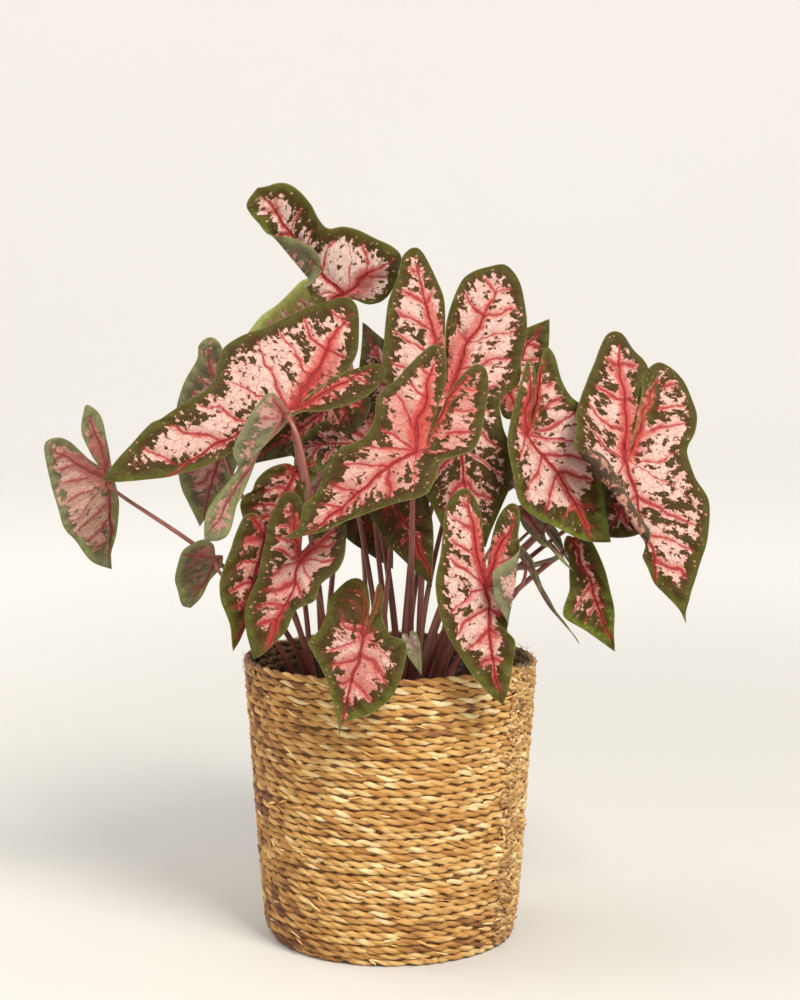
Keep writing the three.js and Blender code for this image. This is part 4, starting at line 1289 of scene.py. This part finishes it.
def streak_group():
    """Long streaks along a cord, strand or stem: noise read at the distance along it, squeezed, and
    at the turn round it, with a slower wave along the same way."""
    tree, w, given, give = node_group(
        "lengthwise streaks",
        [("Along", FLOAT, 0), ("Squeeze", FLOAT, 0.1), ("Fineness", FLOAT, 3)],
        [("Streak", FLOAT), ("Wave", FLOAT)],
    )
    x, y, number = w.parts(w.field("turn", "Vector"))
    along = given["Along"] * given["Squeeze"] + number * 9.7
    fine = w.join(x * given["Fineness"], y * given["Fineness"], along)
    give(Streak=w.noise(fine, 1, 3, 0.6), Wave=w.noise(w.join(x, y, along * 0.35), 1))
    return tree


def seagrass_material(name, dark, honey, gold, straw):
    """Dried seagrass, from dark to pale along each strand, with fine lengthwise fibres, and painted shade on
    the inner side of the wall.
    """
    material, w = new_material(name)
    streak = use_group(w, streaks, Along=w.field("along"), Squeeze=0.14, Fineness=5.5)
    tone = (streak["Streak"] - 0.5) * 1.7 + w.field("tone")
    colour = w.coats(
        dark,
        (w.ramp(tone, -0.95, -0.35), honey),
        (w.ramp(tone, -0.3, 0.2), gold),
        (w.ramp(tone, 0.25, 0.8), straw),
        (w.ramp(streak["Wave"], 0.62, 0.7, 0, 0.45), "#8a5a38"),
        # painted shade: the inner side of the wall, dim under the leaves, darkened to deep brown
        (w.field("painted_inner_shade") * 0.8, "#3a2516"),
    )
    w.surface(colour, w.ramp(streak["Streak"], 0.3, 0.7, 0.46, 0.7), (streak["Streak"], 0.8, 0.001), 0.45)
    return material


def gap_shade_material():
    """Dark brown backing in the gaps between the cords: painted shade for the grooves between the courses."""
    material, w = new_material("dark backing for painted gap shade")
    mat = w.noise(w.vector("MULTIPLY", w.spot(), (300, 300, 1500)), 1, 4, 0.7)
    w.surface(w.mix(w.ramp(mat, 0.35, 0.7), "#4a2e1a", "#97693c"), 0.9, (mat, 0.8, 0.0015))
    return material


def stem_material():
    """Mauve-brown stems, darker in short lengthwise flecks, greener and paler towards the blade."""
    material, w = new_material("stem skin")
    streak = use_group(w, streaks, Along=w.field("along"), Squeeze=0.12, Fineness=3)
    colour = w.coats(
        "#71392f",
        (w.ramp(w.field("share"), 0, 1), "#9c5a4e"),
        (w.ramp(streak["Streak"], 0.5, 0.66, 0, 0.8), "#4c241d"),
        (w.ramp(streak["Wave"], 0.5, 0.68, 0, 0.5), "#94684e"),
    )
    w.surface(colour, w.ramp(streak["Streak"], 0.3, 0.7, 0.36, 0.5), (streak["Streak"], 0.35, 0.0004))
    return material


def grit_group():
    """Grains of two sizes: many-sided cells, as a height and as a random value for each grain."""
    tree, w, given, give = node_group("grit", [("Size", FLOAT, 3)], [("Height", FLOAT), ("Grain", FLOAT)])
    spot, scale = w.spot(), 1000 / given["Size"]
    large, small = (w.cells(spot, each, dimensions="3D") for each in (scale, scale * 2.7))
    grain, *_ = w.parts(small["Color"])
    give(Height=1 - (large["Distance"] + small["Distance"] * 0.5), Grain=grain)
    return tree


def soil_material():
    """Dark potting soil with paler crumbs."""
    material, w = new_material("potting soil")
    grains = use_group(w, grit, Size=3.4)
    colour = w.coats(
        "#20140c",
        (w.ramp(grains["Grain"], 0.1, 0.8), "#4a3524"),
        (w.ramp(grains["Grain"], 0.93, 0.95), "#8f7a5c"),
    )
    w.surface(colour, 0.95, (grains["Height"], 0.9, 0.0022))
    return material


def tuber_material():
    """Brown, papery, ringed skin of a tuber."""
    material, w = new_material("tuber skin")
    grains = use_group(w, grit, Size=6)
    rings = w.noise(w.vector("MULTIPLY", w.spot(), (120, 120, 700)), 1, 3)
    colour = w.coats(
        "#4a3020",
        (w.ramp(rings, 0.35, 0.65), "#8a6444"),
        (w.ramp(grains["Grain"], 0.8, 0.9, 0, 0.5), "#a98560"),
    )
    w.surface(colour, 0.85, (rings + grains["Height"] * 0.4, 0.7, 0.0018))
    return material


def liner_material():
    """Thin dark glossy film, finely crumpled, with a few pale specks of lime and soil."""
    material, w = new_material("liner film")
    spot = w.spot()
    folds, fine = w.noise(spot, 90, 4, 0.6), w.noise(spot, 420, 3, 0.6)
    specks = w.cells(spot, 260, dimensions="3D")
    luck, *_ = w.parts(specks["Color"])
    speck = w.fade(specks["Distance"], 0.14, 0.24) * w.ramp(luck, 0.9, 0.92)
    colour = w.coats("#24150c", (w.ramp(folds, 0.35, 0.65), "#4a3020"), (speck * 0.8, "#b9ab98"))
    w.surface(colour, w.ramp(fine, 0.3, 0.7, 0.34, 0.55), (folds + fine * 0.25, 0.8, 0.003), 0.35)
    return material


# ---- the plant and its basket --------------------------------------------------------------------
veins, markings, streaks, grit = vein_group(), marking_group(), streak_group(), grit_group()

# Each face of a blade: its roughness, how far its veins are sunk, and its colours, from pale pink
# through salmon, scarlet, red and rust to olive, deep green and fresh green.
FACES = {
    "leaf upper face": (
        0.46, 1.0, "#ecc6b7 #d08c7d #cf6055 #c43c36 #96222c #9a4a34 #524a18 #44340e #6c7a24"
    ),
    "leaf underside": (
        0.6, -0.7, "#cfa797 #b98676 #b4695f #a85450 #964a48 #93705a #848260 #66624a #a3ab62"
    ),
    # a brighter copy of the upper face: painted light, so the top leaf looks fully lit
    "top leaf in painted light": (
        0.46, 1.0, "#ffe6da #fcc6b8 #e0766a #cc3e38 #9c2430 #a4503a #5a5420 #4a3c14 #7c8a34"
    ),
    # a darker copy of the underside: painted shade for right_big's rolled edge, which turns away from the light
    "turned edge of a leaf in painted shade": (
        0.55, -0.7, "#c8907e #a87464 #9c5048 #9a4840 #80403a #7a543e #5c4a38 #43362a #6c6440"
    ),
    "leaf with light through it": (
        0.55, -0.7, "#f4cfc0 #e8a898 #dc8474 #d06c60 #a85c50 #b89060 #c4c870 #a0a450 #d8dc84"
    ),
    "young leaf": (
        0.5, 0.6, "#e8e4d4 #dcd4c2 #d8c4b4 #cca898 #bc9484 #c4bc9c #8f9c64 #74844a #9aae6c"
    ),
}
faces = {name: blade_material(name, *facts) for name, facts in FACES.items()}
LEAF_SKINS = {
    "tiny_rolled": ["young leaf"],
    "top_curl": ["top leaf in painted light", "leaf underside"],
    "upper_left_back": ["leaf with light through it"],
    "right_big": ["leaf upper face", "turned edge of a leaf in painted shade"],
}

stem_skin = stem_material()
for number, leaf in enumerate([*LEAVES, *FILL_LEAVES]):
    name = leaf["name"]
    skins = [faces[skin] for skin in LEAF_SKINS.get(name, ["leaf upper face", "leaf underside"])]
    in_cad = number < len(LEAVES)
    blade(leaf, number, skins, [f"leaf_{name}"] if in_cad else [])
    stem(leaf, number, stem_skin, [f"stem_{name}"] if in_cad else [])

seagrass = seagrass_material("seagrass cord", "#7a4a26", "#c18a45", "#deb069", "#f4dca4")
weathered = seagrass_material("weathered seagrass", "#6a4a2c", "#a67c48", "#c8a066", "#e4cb9a")
basket(seagrass, gap_shade_material())
basket_flakes(seagrass)
basket_joint(weathered)
basket_hairs(weathered)
liner(liner_material())
soil(soil_material())
tuber_skin = tuber_material()
for name, facts in TUBERS.items():
    tuber(name, facts, tuber_skin)


# ---- stage, light and camera ---------------------------------------------------------------------
def backdrop(turns=96):
    """A pale floor that curves up into a wall all round: a profile of a straight, a quarter circle and
    a straight, turned about the vertical. It glows a little away from the middle, as lit paper does."""
    bow = np.linspace(0, math.pi / 2, 16)
    radius = np.concatenate([[0.02, 1.0, 2.0], 3.0 + 1.2 * np.sin(bow), [4.2]])
    z = np.concatenate([[0, 0, 0], 1.2 - 1.2 * np.cos(bow), [2.6]])
    rings = turned(radius[:, None], round_angles(turns), z[:, None])
    points = np.vstack([rings.reshape(-1, 3), [[0, 0, 0]]])
    faces = [*quads(len(radius), turns)[:, ::-1].tolist(), *fan(len(points) - 1, np.arange(turns)).tolist()]
    mesh = bpy.data.meshes.new("studio_backdrop")
    mesh.from_pydata(points.tolist(), [], faces)
    material, w = new_material("studio paper")
    away = w.ramp(w.vector("LENGTH", w.spot()), 0.35, 1.8)
    inputs = w.tree.nodes["Principled BSDF"].inputs
    w.feed(inputs["Base Color"], w.mix(w.noise(w.spot(), 1.2), "#cdcac3", "#d1cfc8"))
    w.feed(inputs["Emission Color"], w.mix(away, "#000000", "#f6f2ef"))
    inputs["Roughness"].default_value = 0.8
    inputs["Emission Strength"].default_value = 0.38
    mesh.materials.append(material)
    place_in_scene("studio_backdrop", mesh)


def soft_lamp(name, place_at, aim_at, size, power, colour):
    """A square lamp, its face turned to the point it lights."""
    lamp = bpy.data.lights.new(name, "AREA")
    lamp.size, lamp.energy, lamp.color = size, power, colour
    made = bpy.data.objects.new(name, lamp)
    made.location = place_at
    made.rotation_euler = (Vector(aim_at) - Vector(place_at)).to_track_quat("-Z", "Y").to_euler()
    bpy.context.scene.collection.objects.link(made)


def sky(colour, strength):
    """Even light from all round."""
    world = bpy.data.worlds.new("studio air")
    world.use_nodes = True
    back = world.node_tree.nodes["Background"]
    back.inputs["Color"].default_value = colour
    back.inputs["Strength"].default_value = strength
    bpy.context.scene.world = world


backdrop()
soft_lamp("key_lamp", (0.78, -1.35, 1.75), (0, 0, 0.25), 0.8, 52, (1.0, 0.97, 0.93))
soft_lamp("fill_lamp", (-1.2, -1.2, 0.9), (0, 0, 0.25), 1.2, 1.5, (1.0, 0.99, 0.97))
soft_lamp("floor_lamp", (-1.3, 0.35, 1.3), (-0.35, 0.25, 0.0), 1.4, 14, (1.0, 0.985, 0.97))
sky((0.985, 0.985, 1.0, 1.0), 0.58)

camera = bpy.data.objects.new("camera", bpy.data.cameras.new("camera"))
camera.data.lens = 74.3
camera.location = (0.0054, -1.1819, 0.3785)
camera.rotation_euler = (math.radians(90 - 6.062), 0, 0)
bpy.context.scene.collection.objects.link(camera)
bpy.context.scene.camera = camera
bpy.context.scene.view_settings.view_transform = "Standard"
